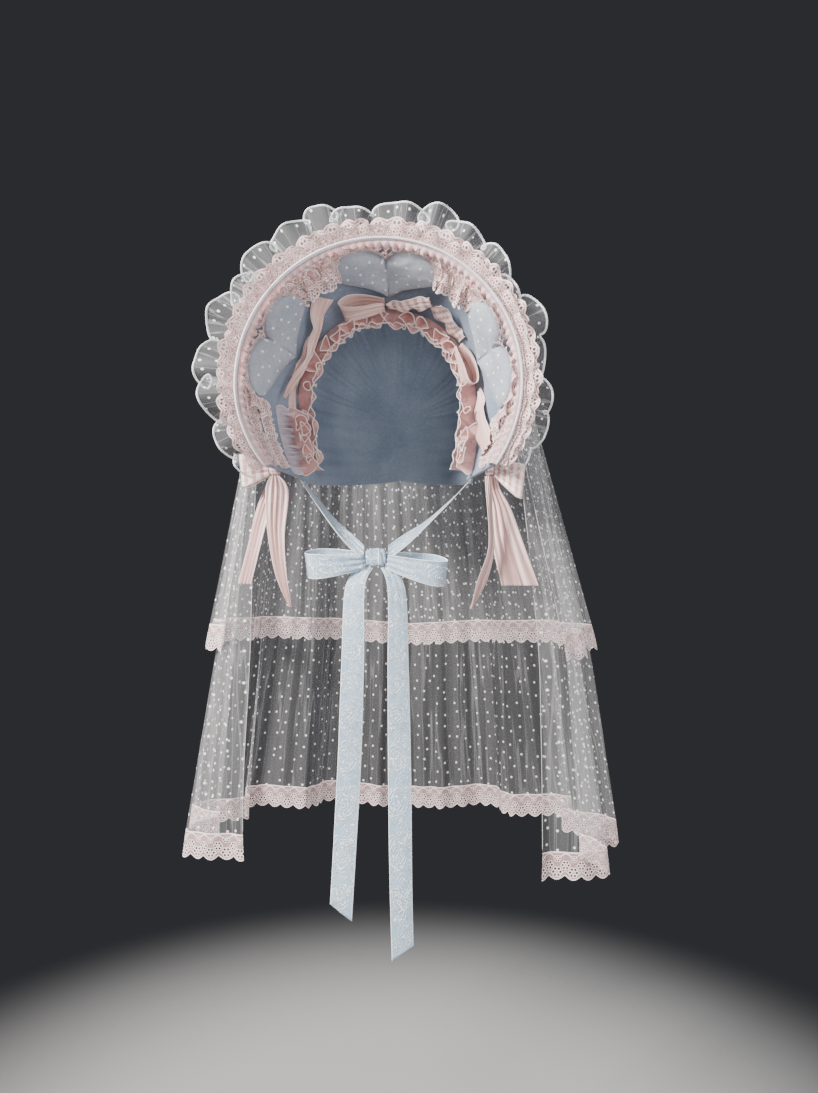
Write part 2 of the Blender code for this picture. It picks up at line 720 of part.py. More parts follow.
def build_side_bows():
    """A bow outside each end of the brim, with its loop turned outwards."""
    for side, name in ((-1, "left"), (1, "right")):
        angle = 180.0 + BOW_ANGLE if side < 0 else -BOW_ANGLE
        knot = on_brim(angle, BOW_SLOPE[name], -(BRIM_WALL / 2 + BUTT_GAP + BOW_KNOT_STAND))
        build_knot("side_bow_" + name + "_knot", knot, BOW_KNOT_SIZE, "pink_satin")
        root = knot + Vector((side * (BOW_KNOT_SIZE.x / 2 + BUTT_GAP), 0.0, 0.0))
        reach = Vector((side * BOW_LOOP_REACH, -BOW_LOOP_FORWARD[name], -BOW_DROOP[name]))
        build_loop("side_bow_" + name + "_loop", root, reach, Vector((0.0, BOW_LOOP_BULGE, 0.0)),
                   Vector((side * 0.10, 0.0, 0.99)), BOW_KNOT_SIZE.z * 0.9, BOW_LOOP_WIDTH, "pink_satin",
                   BOW_LOOP_START)
        start = knot - Vector((0.0, 0.0, BOW_KNOT_SIZE.z / 2 + BUTT_GAP))
        for tail, (tail_side, long, table) in BOW_TAILS.items():
            if tail_side == side:
                drop = BOW_TAIL_LONG_DROP if long else BOW_TAIL_SHORT_DROP
                hanging(tail, start, side, drop, table, PINK_RIBBON_WIDTH, "pink_satin")


def build_ties():
    """The chin ties: two straps, a knot, two loops and two long ends."""
    build_knot("tie_knot", TIE_KNOT_PLACE, TIE_KNOT_SIZE, "blue_satin")
    for side, name in ((-1, "left"), (1, "right")):
        angle = 180.0 + BRIM_END_ANGLE if side < 0 else -BRIM_END_ANGLE
        top = on_brim(angle, 0.14) - Vector((0.0, 0.0, BUTT_GAP + BRIM_WALL * 0.5))
        clear = TIE_KNOT_SIZE.x / 2 + BUTT_GAP + RIBBON_WALL / 2
        end = TIE_KNOT_PLACE + Vector((side * clear, 0.0, TIE_STRAP_END_RISE))
        centres, acrosses = [], []
        for down, inwards, forward, width, turn in eased(STRAP, 10):
            centres.append(Vector((top.x + (end.x - top.x) * inwards, top.y + (end.y - top.y) * forward,
                                   top.z + (end.z - top.z) * down)))
            acrosses.append(Vector((0.0, cos(radians(turn)), sin(radians(turn)))) * TIE_WIDTH * width / 2)
        ribbon("tie_strap_" + name, centres, acrosses, "blue_satin")
        root = TIE_KNOT_PLACE + Vector((side * (TIE_KNOT_SIZE.x / 2 + BUTT_GAP), 0.0, -TIE_LOOP_ROOT_DROP))
        reach = Vector((side * TIE_LOOP_REACH, -TIE_LOOP_FORWARD, -TIE_LOOP_DROOP[name]))
        bulge = Vector((0.0, TIE_LOOP_BULGE, TIE_LOOP_LEAN))
        build_loop("tie_loop_" + name, root, reach, bulge, Vector((side * 0.12, 0.0, 0.99)),
                   TIE_KNOT_SIZE.z * 0.7, TIE_WIDTH, "blue_satin")
    for side, name, drop in ((-1, "left", TIE_TAIL_LEFT_DROP), (1, "right", TIE_TAIL_RIGHT_DROP)):
        start = TIE_KNOT_PLACE + Vector((side * TIE_TAIL_SPACING, -TIE_TAIL_FORWARD, -TIE_KNOT_SIZE.z / 2 - BUTT_GAP))
        table = [(down, side * sideways, forward, side * facing, width)
                 for down, sideways, forward, facing, width in TIE_TAILS["tie_tail_" + name]]
        hanging("tie_tail_" + name, start, side, drop, table, TIE_WIDTH, "blue_satin", side * TIE_END_CUT)


def veil_point(angle, share, fall, tier):
    """A veil's middle surface: angle over the head, share from the front edge to the back, fall below the head."""
    hem, half_width, depth, curl, sway, layer = tier
    offset = layer * (VEIL_WALL + VEIL_TIER_GAP)
    spread = between(VEIL_SPREAD[layer], fall)
    front_angle = VEIL_FRONT_ANGLE + curl * fall
    turn = radians(-front_angle + (90.0 + front_angle) * share)
    side = side_of(angle)
    down = fall * (hem * (1 + side * VEIL_HEM_TILT * (1 - share)) + VEIL_BACK_DIP * share ** 2)
    width = VEIL_CAP_HALF_WIDTH + (half_width - VEIL_CAP_HALF_WIDTH) * spread + offset * (1 - fall)
    deep = VEIL_CAP_DEPTH + (depth - VEIL_CAP_DEPTH) * spread + offset * share * (1 - fall)
    front = on_brim(90.0, VEIL_SLOPE, -(BRIM_WALL / 2 + VEIL_SEAT_GAP + VEIL_WALL / 2 + offset))
    axis_y = front.y + VEIL_CAP_DEPTH * sin(radians(VEIL_FRONT_ANGLE)) + VEIL_BACK_SHIFT * fall
    place = (turn + radians(VEIL_FRONT_ANGLE)) / radians(90.0 + VEIL_FRONT_ANGLE)
    swing = cos(2 * pi * (VEIL_FOLDS * place - VEIL_FOLD_START)) * (1 - share ** 6)
    folds = VEIL_FOLD_HEIGHT * (down / LOWER_TIER_HEM) * swing
    x = (width + folds) * cos(turn)
    y = axis_y + (deep + folds) * sin(turn)
    if fall > 0 or not 0 < angle < 180:
        return Vector((side * x + sway * between(VEIL_SPREAD[layer], fall, 2), y, CENTRE_Z - down))
    climb = (front.z - CENTRE_Z) / cos(pi / VEIL_CAP_FACETS / 2) * between(
        VEIL_CAP, (sin(turn) + sin(radians(VEIL_FRONT_ANGLE))) / (1 + sin(radians(VEIL_FRONT_ANGLE))))
    return Vector((x * cos(radians(angle)), y, CENTRE_Z + climb * sin(radians(angle))))


def build_veil():
    """Both tiers of the veil, each a tulle sheet over the crown with a lace border below it."""
    tiers = {
        "upper": (UPPER_TIER_HEM, UPPER_TIER_HALF_WIDTH, UPPER_TIER_DEPTH, UPPER_TIER_CURL, UPPER_TIER_SWAY, 1),
        "lower": (LOWER_TIER_HEM, LOWER_TIER_HALF_WIDTH, LOWER_TIER_DEPTH, LOWER_TIER_CURL, LOWER_TIER_SWAY, 0),
    }
    for name, tier in tiers.items():
        hem, sway, spread = tier[0], tier[4], VEIL_SPREAD[tier[5]]
        border = 1 - VEIL_LACE_WIDTH / hem
        falls = [row[0] for row in spread[:-1]] + [border]
        stops = ([(0.0, fall) for fall in reversed(falls[1:])]
                 + [(angle, 0.0) for angle in steps(VEIL_CAP_FACETS, 0.0, 180.0)]
                 + [(180.0, fall) for fall in falls[1:]])
        shares = steps(VEIL_FOLDS * 4)
        rows = [[veil_point(angle, share, fall, tier) for share in shares] for angle, fall in stops]
        for row, (angle, fall) in zip(rows, stops):
            row[-1].x = sway * between(spread, fall, 2)
        cloth("veil_" + name, rows, VEIL_WALL, "white_tulle")
        start = border + BUTT_GAP / hem
        round_hem = [(0.0, share) for share in shares] + [(180.0, share) for share in reversed(shares[:-1])]
        rows = [[veil_point(angle, share, fall, tier) for angle, share in round_hem] for fall in (start, 1.0)]
        cloth("veil_" + name + "_lace", rows, VEIL_WALL, "pink_lace")


def build_bonnet():
    """Every piece of the bonnet."""
    for old in list(bpy.data.objects):
        bpy.data.objects.remove(old)
    build_crown()
    build_brim()
    build_piping()
    build_rim_ruffle("lace_ruffle", LACE_RUFFLE_WAVES, LACE_RUFFLE_LENGTH, LACE_RUFFLE_FOLD, -LACE_RUFFLE_LEAN,
                     2, 0, "pink_lace")
    build_rim_ruffle("tulle_ruffle", TULLE_RUFFLE_WAVES, TULLE_RUFFLE_LENGTH, TULLE_RUFFLE_FOLD, TULLE_RUFFLE_LEAN,
                     1, 1, "white_tulle")
    build_inner_trim()
    build_face_ruffle()
    for name, angle in HEART_ANGLES.items():
        build_heart(name, angle)
        build_heart_lace(name, angle)
    for name, table in GARLAND.items():
        build_garland(name, table)
    build_garland_loops()
    build_side_bows()
    build_ties()
    build_veil()


build_bonnet()
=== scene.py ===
"""The dressed bonnet: fine cloth, lace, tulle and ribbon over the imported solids.

Units are metres. The wearer faces -Y, +X is the wearer's left and +Z is up.
The origin is the crown's inner top.
Angles are in degrees round the brim: 0 is the +X side, 90 the top and 180 the -X side.
A slope is a share of the way from the crown seam, 0, to the brim's rim, 1.
"""
from bisect import bisect_right
from itertools import accumulate
from math import cos, pi, radians, sin, sqrt

import bmesh
import bpy
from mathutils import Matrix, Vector
from mathutils.noise import noise


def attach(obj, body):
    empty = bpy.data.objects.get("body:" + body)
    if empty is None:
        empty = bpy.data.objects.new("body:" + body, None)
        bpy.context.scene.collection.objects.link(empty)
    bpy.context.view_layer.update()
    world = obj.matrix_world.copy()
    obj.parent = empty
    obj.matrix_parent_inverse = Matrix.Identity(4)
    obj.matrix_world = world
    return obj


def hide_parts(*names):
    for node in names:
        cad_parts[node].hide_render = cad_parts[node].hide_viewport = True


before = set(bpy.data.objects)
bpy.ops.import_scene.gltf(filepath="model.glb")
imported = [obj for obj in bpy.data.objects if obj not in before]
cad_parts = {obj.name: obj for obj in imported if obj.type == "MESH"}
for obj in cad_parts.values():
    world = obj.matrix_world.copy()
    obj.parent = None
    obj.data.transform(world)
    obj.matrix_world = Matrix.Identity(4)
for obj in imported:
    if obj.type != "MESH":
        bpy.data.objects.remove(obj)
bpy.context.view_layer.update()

# Camera
CAMERA_PLACE = (0.0909, -0.9352, -0.2481)
CAMERA_TURN = 4.288
CAMERA_LENS = 28.65

# Clearances between pieces
BUTT_GAP = 0.0005
LAYER_GAP = 0.0005

# Crown
CROWN_RADIUS = 0.0930
CROWN_DEPTH = 0.1430
CROWN_WALL = 0.0020
CROWN_PUFF = 0.10
CROWN_PLEATS = 14
CROWN_PLEAT_HEIGHT = 0.0022
NAPE_RISE = 0.12
SEAM_Y = -0.0300
SIDE_DROP = 0.0850
SIDE_PULL = 0.10

# Brim
BRIM_RIM_RADIUS = 0.1340
BRIM_DEPTH = 0.0950
BRIM_WALL = 0.0030
BRIM_END_ANGLE = 34.0
BRIM_END_EASE = 0.25
PIPING_RADIUS = 0.0020

# Ruffles round the rim
RUFFLE_WALL = 0.0010
RUFFLE_SEAT = 0.0030
TULLE_RUFFLE_LENGTH = 0.0400
TULLE_RUFFLE_FOLD = 0.0075
TULLE_RUFFLE_LEAN = 0.0090
TULLE_RUFFLE_WAVES = 20
LACE_RUFFLE_LENGTH = 0.0210
LACE_RUFFLE_LEAN = 0.0052
LACE_RUFFLE_WAVES = 24

# Trims on the brim's inner face
TRIM_WALL = 0.0010
TRIM_SLOPE = 0.975
FACE_RUFFLE_LENGTH = 0.0200
FACE_RUFFLE_RISE = 0.0030
FACE_RUFFLE_FOLD = 0.00432
FACE_RUFFLE_END = 31.0
FACE_RUFFLE_SLOPE = 0.02

# Padded hearts and their lace
HEART_HALF_WIDTH = 0.0570
HEART_HEIGHT = 0.0690
HEART_PAD = 0.0110
HEART_TOP_SLOPE = 0.895
HEART_CREASE = 0.50
HEART_CREASE_REACH = 0.0025
HEART_MIDDLE = (0.0, -0.42)
HEART_LACE_WALL = 0.0010
HEART_ANGLES = {"top": 87.0, "left": 156.0, "right": 18.0}

# Ribbons
RIBBON_WALL = 0.0010
PINK_RIBBON_WIDTH = 0.0250
LOOP_START = 0.07
BOW_LOOP_START = 0.06

# Chin ties
TIE_WIDTH = 0.0250
TIE_STRAP_SLOPE = 0.14
TIE_KNOT_SIZE = Vector((0.0220, 0.0130, 0.0190))
TIE_KNOT_PLACE = Vector((-0.0060, -0.0790, -0.2590))
TIE_LOOP_REACH = 0.0580
TIE_LOOP_BULGE = 0.0110
TIE_LOOP_LEAN = 0.0030
TIE_LOOP_FORWARD = 0.0020
TIE_LOOP_DROOP = {"left": 0.0040, "right": 0.0120}
TIE_LOOP_ROOT_DROP = 0.0030
TIE_STRAP_END_RISE = 0.0045
TIE_TAIL_SPACING = 0.0070
TIE_TAIL_FORWARD = 0.0020
TIE_TAIL_LEFT_DROP = 0.3370
TIE_TAIL_RIGHT_DROP = 0.3750
TIE_END_CUT = 0.0150

# Side bows
BOW_KNOT_SIZE = Vector((0.0090, 0.0110, 0.0120))
BOW_SLOPE = {"left": 0.62, "right": 0.50}
BOW_ANGLE = 32.0
BOW_LOOP_REACH = 0.0280
BOW_LOOP_BULGE = 0.0075
BOW_LOOP_WIDTH = 0.0325
BOW_LOOP_FORWARD = {"left": 0.0040, "right": 0.0160}
BOW_DROOP = {"left": 0.0020, "right": 0.0140}
BOW_KNOT_STAND = 0.0056
BOW_TAIL_LONG_DROP = 0.1300
BOW_TAIL_SHORT_DROP = 0.1080

# Veil
VEIL_WALL = 0.0010
VEIL_SLOPE = 0.30
VEIL_SEAT_GAP = 0.0002
VEIL_FRONT_ANGLE = 34.0
VEIL_TIER_GAP = 0.0018
VEIL_CAP_HALF_WIDTH = 0.1495
VEIL_CAP_DEPTH = 0.1300
VEIL_FOLDS = 4
VEIL_FOLD_HEIGHT = 0.0210
VEIL_FOLD_START = 0.22
VEIL_LACE_WIDTH = 0.0280
VEIL_BACK_DIP = 0.0200
VEIL_BACK_SHIFT = 0.0100
VEIL_HEM_TILT = 0.0115
LOWER_TIER_HEM = 0.4760

# The brim's middle level, set so that the crown's inner top, a pleat that is level there, lies at the origin
CENTRE_Z = CROWN_WALL / 2 - CROWN_RADIUS - CROWN_PLEAT_HEIGHT

# How far what lies on the brim stands off its middle surface
FACE_SEAT = BRIM_WALL / 2 + LAYER_GAP

# Length of the rim ruffles round the brim, as a share of their full length
RIM_SPREAD = (
    # angle, tulle, lace
    (-34, 0.55, 0.6), (-18, 0.74, 0.84), (0, 0.68, 0.9), (45, 0.8, 0.95), (65, 0.94, 0.95),
    (90, 1.04, 0.95), (135, 1.07, 0.95), (180, 1, 0.95), (200, 0.78, 0.84), (214, 0.55, 0.6),
)

# How far the sheet stands off the crown, as shares of the veil's depth and of its seat radius
VEIL_CAP = (
    # depth, height
    (0, 1), (0.36, 0.9), (0.57, 0.82), (0.72, 0.7), (0.84, 0.54), (0.92, 0.38), (1, 0),
)

# How each tier widens and sways on its way down, as shares of its own amounts; the lower tier first
VEIL_SPREAD = (
    (
        # fall, width, sway
        (0, 0, 0), (0.27, 0.31, 0.5), (0.54, 0.62, 1), (1, 1, 0.75),
    ),
    (
        (0, 0, 0), (0.5, 0.5, 0.5), (1, 1, 1),
    ),
)

# A heart's pad from its back over its edge to its front, as shares of its outline and thickness
HEART_PROFILE = (
    # place, reach, height
    (0, 0, 0), (0.12, 0.6, 0), (0.24, 1, 0), (0.3, 1, 0.12), (0.38, 0.95, 0.42),
    (0.55, 0.78, 0.74), (0.78, 0.45, 0.96), (1, 0, 1),
)

# Width of the lace round a heart as a share of its full width: 0 is the cleft, 1 the lace's end
HEART_LACE_SPREAD = (
    # place, width
    (0, 0.8), (0.35, 0.7), (0.75, 0.95), (1, 1.15),
)

# Ribbons that lie on the brim's inner face; rise and width are shares of the ribbon's width
GARLAND = {
    "garland_left": (
        # angle, slope, rise, width
        (122, 0.5, 0.02, 0.9), (130, 0.38, 0.16, 0.75), (137, 0.27, 0.3, 0.4),
        (150, 0.2, 0.42, 0.45), (165, 0.24, 0.5, 0.4), (182, 0.4, 0.3, 0.06),
    ),
    "garland_left_under": (
        (141, 0.17, 0.02, 0.4), (156, 0.13, 0, 0.45), (172, 0.14, 0, 0.5), (189, 0.18, 0.06, 0.2),
    ),
    "garland_band": (
        (87, 0.21, 0.38, 0.5), (78, 0.28, 0.52, 0.6), (68, 0.37, 0.5, 0.65), (61, 0.43, 0.36, 0.6),
    ),
    "garland_right": (
        (59, 0.4, 0.3, 0.85), (51, 0.28, 0.2, 0.9), (43, 0.19, 0.07, 0.8), (36, 0.17, 0, 0.7),
    ),
    "garland_right_tail": (
        (2, 0.15, 0, 0.6), (-7, 0.22, 0.1, 0.8), (-16, 0.37, 0.16, 0.9), (-26, 0.6, 0.1, 1),
    ),
}

# Loops on the brim's inner face, from their knot; rise and width are shares of the ribbon's width
GARLAND_LOOPS = {
    # name: (angle, slope, turn, climb, rise, width)
    "garland_loop_top": (90.0, 0.21, 27.0, 0.05, 0.00, 1.10),
    "garland_loop_right": (33.5, 0.165, -27.0, 0.00, 0.09, 0.72),
}

# Ribbon ends that hang from the side bows; sideways and forward are shares of the drop
BOW_TAILS = {
    # name: (side, drop, rows of down, sideways, forward, facing, width)
    "side_bow_left_tail_long": (-1, BOW_TAIL_LONG_DROP, (
        (0, -0.01, 0.016, -10, 0.36), (0.12, -0.04, 0.08, -15, 0.9),
        (0.45, -0.05, 0.15, 15, 0.75), (0.75, -0.09, 0.17, 30, 0.6), (1, -0.16, 0.17, 20, 0.1),
    )),
    "side_bow_left_tail_short": (-1, BOW_TAIL_SHORT_DROP, (
        (0, 0.02, -0.035, 10, 0.3), (0.15, 0.06, -0.03, 10, 0.5), (0.35, 0.1, 0.06, 30, 0.75),
        (0.65, 0.16, 0.12, 40, 0.85), (1, 0.24, 0.16, 30, 0.7),
    )),
    "side_bow_right_tail_thin": (1, BOW_TAIL_LONG_DROP, (
        (0, -0.01, 0.014, 20, 0.25), (0.25, 0, 0.13, 60, 0.4), (0.55, 0.01, 0.18, 60, 0.45),
        (0.8, -0.06, 0.2, 50, 0.55), (1, -0.14, 0.2, 60, 0.06),
    )),
    "side_bow_right_tail_broad": (1, BOW_TAIL_SHORT_DROP, (
        (0, 0.02, -0.035, 10, 0.4), (0.12, 0.04, -0.1, 5, 0.55), (0.3, 0.1, -0.04, 5, 0.85),
        (0.6, 0.16, 0.1, 0, 1.2), (1, 0.27, 0.17, -5, 1.45),
    )),
}

# Chin ties from the brim's ends to the knot; down, in and forward are shares of the way between the two
STRAP = (
    # down, in, forward, width, turn of the width from fore-and-aft to upright
    (0, 0, 0, 0.8, 0), (0.3, 0.26, 0.3, 1, 8), (0.68, 0.62, 0.72, 1, 22), (1, 1, 1, 0.6, 66),
)

# Ends of the chin ties; sideways and forward are shares of the drop
TIE_TAILS = {
    # side: (drop, rows of down, sideways, forward, facing, width)
    "left": (TIE_TAIL_LEFT_DROP, (
        (0, -0.01, 0, -8, 0.6), (0.06, -0.038, 0.022, -14, 0.82),
        (0.25, -0.042, 0.034, -6, 0.9), (0.55, -0.052, 0.032, 4, 0.92),
        (0.8, -0.065, 0.036, -5, 0.92), (1, -0.077, 0.034, -8, 0.92),
    )),
    "right": (TIE_TAIL_RIGHT_DROP, (
        (0, 0.012, 0, 8, 0.5), (0.06, 0.038, 0.018, 16, 0.7),
        (0.25, 0.043, 0.03, 10, 0.82), (0.55, 0.047, 0.028, 4, 0.9),
        (0.8, 0.05, 0.03, 6, 0.88), (1, 0.055, 0.032, 10, 0.86),
    )),
}

# Fine sizes of the cloths
SHEEN_ROUGHNESS = 0.4
CROWN_CLOTH_WIDTH = 0.24
TULLE_DOT_PITCH = 0.0150
LACE_PETALS = 6
LACE_NET = 0.0017
CORD_HALF = 0.0006
CORD_SOFT = 0.0003
LACE_SEWN_EDGE = 0.0012
PIPING_CORD_RADIUS = 0.0012
ROLLED_EDGE_RADIUS = 0.0010
TRIM_EDGE_RADIUS = 0.0004
FRILL_EDGE_RADIUS = 0.0005
FACE_EDGE_RADIUS = 0.0006
TULLE_RUFFLE_SLIP = 0.0086
LACE_RUFFLE_SLIP = 0.0064
FACE_RUFFLE_CURL = 0.0036
FACE_CURLS = 29
CROWN_GATHER = 0.0013
CLOTH_RIPPLE = 0.0006
BRIM_QUILTING = 0.0003
TRIM_TURN = 0.0005
TRIM_BAND = 0.0110
TRIM_PUFF = 0.0024
TRIM_FRILL = 0.0016
TRIM_GATHERS = 74
HEART_SWELL = 0.0040
HEART_PRESSURE = 4.0
HEART_STIFFNESS = 12.0
HEART_FRAMES = 20
HEART_RINGS = 28
HEART_LACE_TURN = 26 * pi / 24 / 2
HEART_DOT_PITCH = 0.0130
HEART_FRILL_WIDTH = 0.0180
HEART_FRILL_REACH = 0.0185
HEART_FRILL_RISE = 0.0034
HEART_FRILL_FOLD = 0.0024
HEART_FRILL_WAVES = 15
CORNER_LACE_LENGTH = 0.0340
DOT_RADIUS = 0.0013
DOT_TONE = (0.93, 0.93, 0.93)
LACE_FOLD = 0.0050
LEAST_CUT = 0.0100
RIBBON_CLOTH = 0.0005
RIBBON_PINCH = 0.0006
GARLAND_CUP = 0.0016
GARLAND_FLUTTER = 0.0016
GARLAND_PLEAT = 0.0007
GARLAND_LOOP_PINCH = 0.0008
LOOP_PINCH = 0.0007
LOOP_ROOT = 0.45
TAIL_PLEAT = 0.0013
STRAP_PINCH = 0.0008
TIE_CUP = 0.0006
LEAST_WIDTH = 0.05
KNOT_CREASE = 0.060
KNOT_SQUARENESS = 0.60
RIBBON_CHECK = 0.0090
RIBBON_RIB = 0.0009
SCROLL_PITCH = 0.0370
SCROLL_LINE = 0.0030
VEIL_FINE_FOLD = 0.0022
VEIL_FINE_FOLDS = 17
VEIL_ROLL_RADIUS = 0.0003
VEIL_EASE = 0.06
VEIL_HEAD_ROWS = 40

# Garland ribbons that show their satin bars; the others show their stripes
BARRED_RIBBONS = ("garland_band", "garland_right")

# Frills sewn to the brim's inner face: a negative tilt lies towards the face, a positive one towards the rim
BRIM_FRILLS = {
    # name: (finish, sewn line as angle and slope, length, tilt, waves, slip, fold)
    "lilac_net_left": ("pale net", ((185.0, 0.44), (213.5, 0.42)), 0.0240, -1.34, 9, 0.0040, 0.0030),
    "face_frill": ("organza", ((-31.0, 0.05), (211.0, 0.05)), 0.0185, 0.32, 18, 0.0100, 0.0084),
    "corner_lace_left": ("corner lace", ((107.0, 0.93), (137.0, 0.93)), CORNER_LACE_LENGTH, -1.16, 3,
                         0.0050, 0.0050),
    "corner_lace_left_over": ("heart lace", ((109.0, 0.90), (134.0, 0.88)), 0.0200, -0.95, 3, 0.0060,
                              0.0050),
    "corner_lace_right": ("corner lace", ((38.0, 0.93), (67.0, 0.93)), CORNER_LACE_LENGTH, -1.16, 3,
                          0.0050, 0.0050),
    "corner_lace_right_over": ("heart lace", ((41.0, 0.88), (65.0, 0.90)), 0.0200, -0.95, 3, 0.0060,
                               0.0050),
    "lower_lace_left": ("heart lace", ((180.0, 0.91), (213.5, 0.89)), 0.0330, -1.44, 9, 0.0032, 0.0022),
    "lower_lace_left_inner": ("heart lace", ((183.0, 0.72), (213.5, 0.68)), 0.0360, -1.34, 8, 0.0034,
                              0.0026),
    "lower_lace_right": ("heart lace", ((-33.5, 0.89), (1.0, 0.91)), 0.0300, -1.44, 9, 0.0032, 0.0020),
    "lower_lace_right_inner": ("heart lace", ((-33.5, 0.66), (-10.0, 0.68)), 0.0360, -1.43, 6, 0.0034,
                               0.0020),
    "lower_curl_left": ("organza", ((186.0, 0.26), (213.0, 0.20)), 0.0190, 0.10, 6, 0.0085, 0.0074),
    "lower_curl_right": ("organza", ((-33.0, 0.22), (-12.0, 0.14)), 0.0170, 0.10, 4, 0.0080, 0.0068),
}

# The two layers of the lace ruffle
LACE_LAYERS = (
    # name, length, lean, shift, seed, nodes
    ("lace_ruffle_cloth", 1.0, 1.0, 0.0, 5.0, ("lace_ruffle",)),
    ("lace_ruffle_short", 0.62, 1.5, 0.5, 23.0, ()),
)

# The figures that a blue ribbon repeats
SCROLLS = (
    # shift along, place across, size, hand
    (0, 0.34, 1, 1), (0.42, 0.68, 0.8, -1), (0.22, 0.8, 0.5, 1), (0.62, 0.26, 0.55, -1),
)

# The veil's tiers; the cloth widths are round values between the gathered edge and the hem
VEIL_TIERS = {
    # name: (rows, cloth width, (drop of the hem, half width, depth, curl, sway, layers of cloth below))
    "upper": (60, 0.7, (0.264, 0.206, 0.172, 0.0, 0.0085, 1)),
    "lower": (90, 0.9, (LOWER_TIER_HEM, 0.220, 0.175, 8.0, 0.0105, 0)),
}

# The room
SURROUND = (0.030, 0.031, 0.035)
FLOOR_Z = -0.95
FLOOR_RADIUS = 0.80
FLOOR_TONE = (0.28, 0.275, 0.27)
LIGHTS = {
    # name: (place, target, size, power, tone)
    "key": ((-1.35, -1.05, 0.75), (0.0, -0.05, -0.15), 0.6, 135.0, (1.0, 0.98, 0.96)),
    "fill": ((1.4, -1.2, 0.0), (0.0, 0.0, -0.25), 1.0, 17.0, (0.95, 0.97, 1.0)),
    "front": ((0.1, -1.9, -0.4), (0.0, 0.0, -0.35), 0.9, 16.0, (1.0, 1.0, 1.0)),
    "rim": ((0.6, 1.2, 1.0), (0.0, 0.0, -0.2), 0.7, 65.0, (1.0, 1.0, 1.0)),
}


def between(table, value, column=1):
    """Straight interpolation of one column of a table whose first column rises."""
    places = [row[0] for row in table]
    value = min(max(value, places[0]), places[-1])
    at = min(bisect_right(places, value), len(table) - 1)
    low, high = table[at - 1], table[at]
    share = (value - low[0]) / (high[0] - low[0])
    return low[column] + (high[column] - low[column]) * share


def steps(count, low=0.0, high=1.0):
    """count + 1 even values from low to high."""
    return [low + (high - low) * index / count for index in range(count + 1)]


def below(angle):
    """How far an angle lies down the brim's straight sides: 0 at the middle level, 1 at the brim's ends."""
    return max(0.0, -angle, angle - 180.0) / BRIM_END_ANGLE


def side_of(angle):
    """Which side of the head an angle lies on."""
    return 1 if angle < 90 else -1


def round_angle(share, end=BRIM_END_ANGLE):
    """The angle at a share of the way round the brim."""
    return -end + share * (180.0 + 2 * end)


def seam_point(angle):
    """The crown seam: a half circle that runs on down both sides of the face."""
    drop = below(angle)
    if drop == 0:
        turn = radians(angle)
        return Vector((CROWN_RADIUS * cos(turn), SEAM_Y, CENTRE_Z + CROWN_RADIUS * sin(turn)))
    width = CROWN_RADIUS * (1 - SIDE_PULL * drop ** 2)
    return Vector((side_of(angle) * width, SEAM_Y, CENTRE_Z - SIDE_DROP * drop))


def rim_point(angle):
    """The brim's outer edge: an arc in front of the seam, which comes back a little at its ends."""
    turn = radians(angle)
    forward = BRIM_DEPTH * (1 - BRIM_END_EASE * below(angle) ** 2)
    return Vector((BRIM_RIM_RADIUS * cos(turn), SEAM_Y - forward, CENTRE_Z + BRIM_RIM_RADIUS * sin(turn)))


def up_slope(angle):
    """From the seam to the rim, as a unit vector."""
    return (rim_point(angle) - seam_point(angle)).normalized()


def round_brim(angle, slope):
    """Along the brim towards greater angles, as a unit vector."""
    ahead = seam_point(angle + 1).lerp(rim_point(angle + 1), slope)
    behind = seam_point(angle - 1).lerp(rim_point(angle - 1), slope)
    return (ahead - behind).normalized()


def edge_out(angle):
    """Square to the brim's rim and away from it, in the brim's own surface."""
    along = round_brim(angle, 1.0)
    out = up_slope(angle)
    return (out - along * out.dot(along)).normalized()


def inward(angle, slope):
    """Out of the brim's inner face, as a unit vector."""
    return up_slope(angle).cross(round_brim(angle, slope)).normalized()


def on_brim(angle, slope, rise=0.0):
    """A point over the brim's middle surface: a positive rise is inside the brim, a negative one outside."""
    middle = seam_point(angle).lerp(rim_point(angle), slope)
    return middle + inward(angle, slope) * rise


def radial(angle):
    """Away from the brim's axis, as a unit vector."""
    return Vector((cos(radians(angle)), 0.0, sin(radians(angle))))


def crown_point(angle, turn):
    """The crown's middle surface: turn runs from the seam, 0, to the back of the head, 1."""
    bend = radians(90.0 * turn)
    drop = below(angle)
    reach = CROWN_RADIUS * cos(bend) * (1 + CROWN_PUFF * sin(2 * bend))
    place = (angle + BRIM_END_ANGLE) / (180.0 + 2 * BRIM_END_ANGLE)
    reach += CROWN_PLEAT_HEIGHT * (1 - turn) * cos(2 * pi * CROWN_PLEATS * place)
    y = SEAM_Y + BUTT_GAP + BRIM_WALL / 4 + CROWN_DEPTH * sin(bend)
    if drop == 0:
        return Vector((reach * cos(radians(angle)), y, CENTRE_Z + reach * sin(radians(angle))))
    width = reach * (1 - SIDE_PULL * drop ** 2) if turn < 1 else 0.0
    fall = SIDE_DROP * drop * (1 - NAPE_RISE * turn ** 2)
    return Vector((side_of(angle) * width, y, CENTRE_Z - fall))


def heart_outline(turn):
    """A heart's edge as shares of its half width and height; turn is 0 at the cleft and pi at the tip."""
    side = sin(turn) ** 3
    up = 13 * cos(turn) - 5 * cos(2 * turn) - 2 * cos(3 * turn) - cos(4 * turn)
    return side, (up - 12) / 29


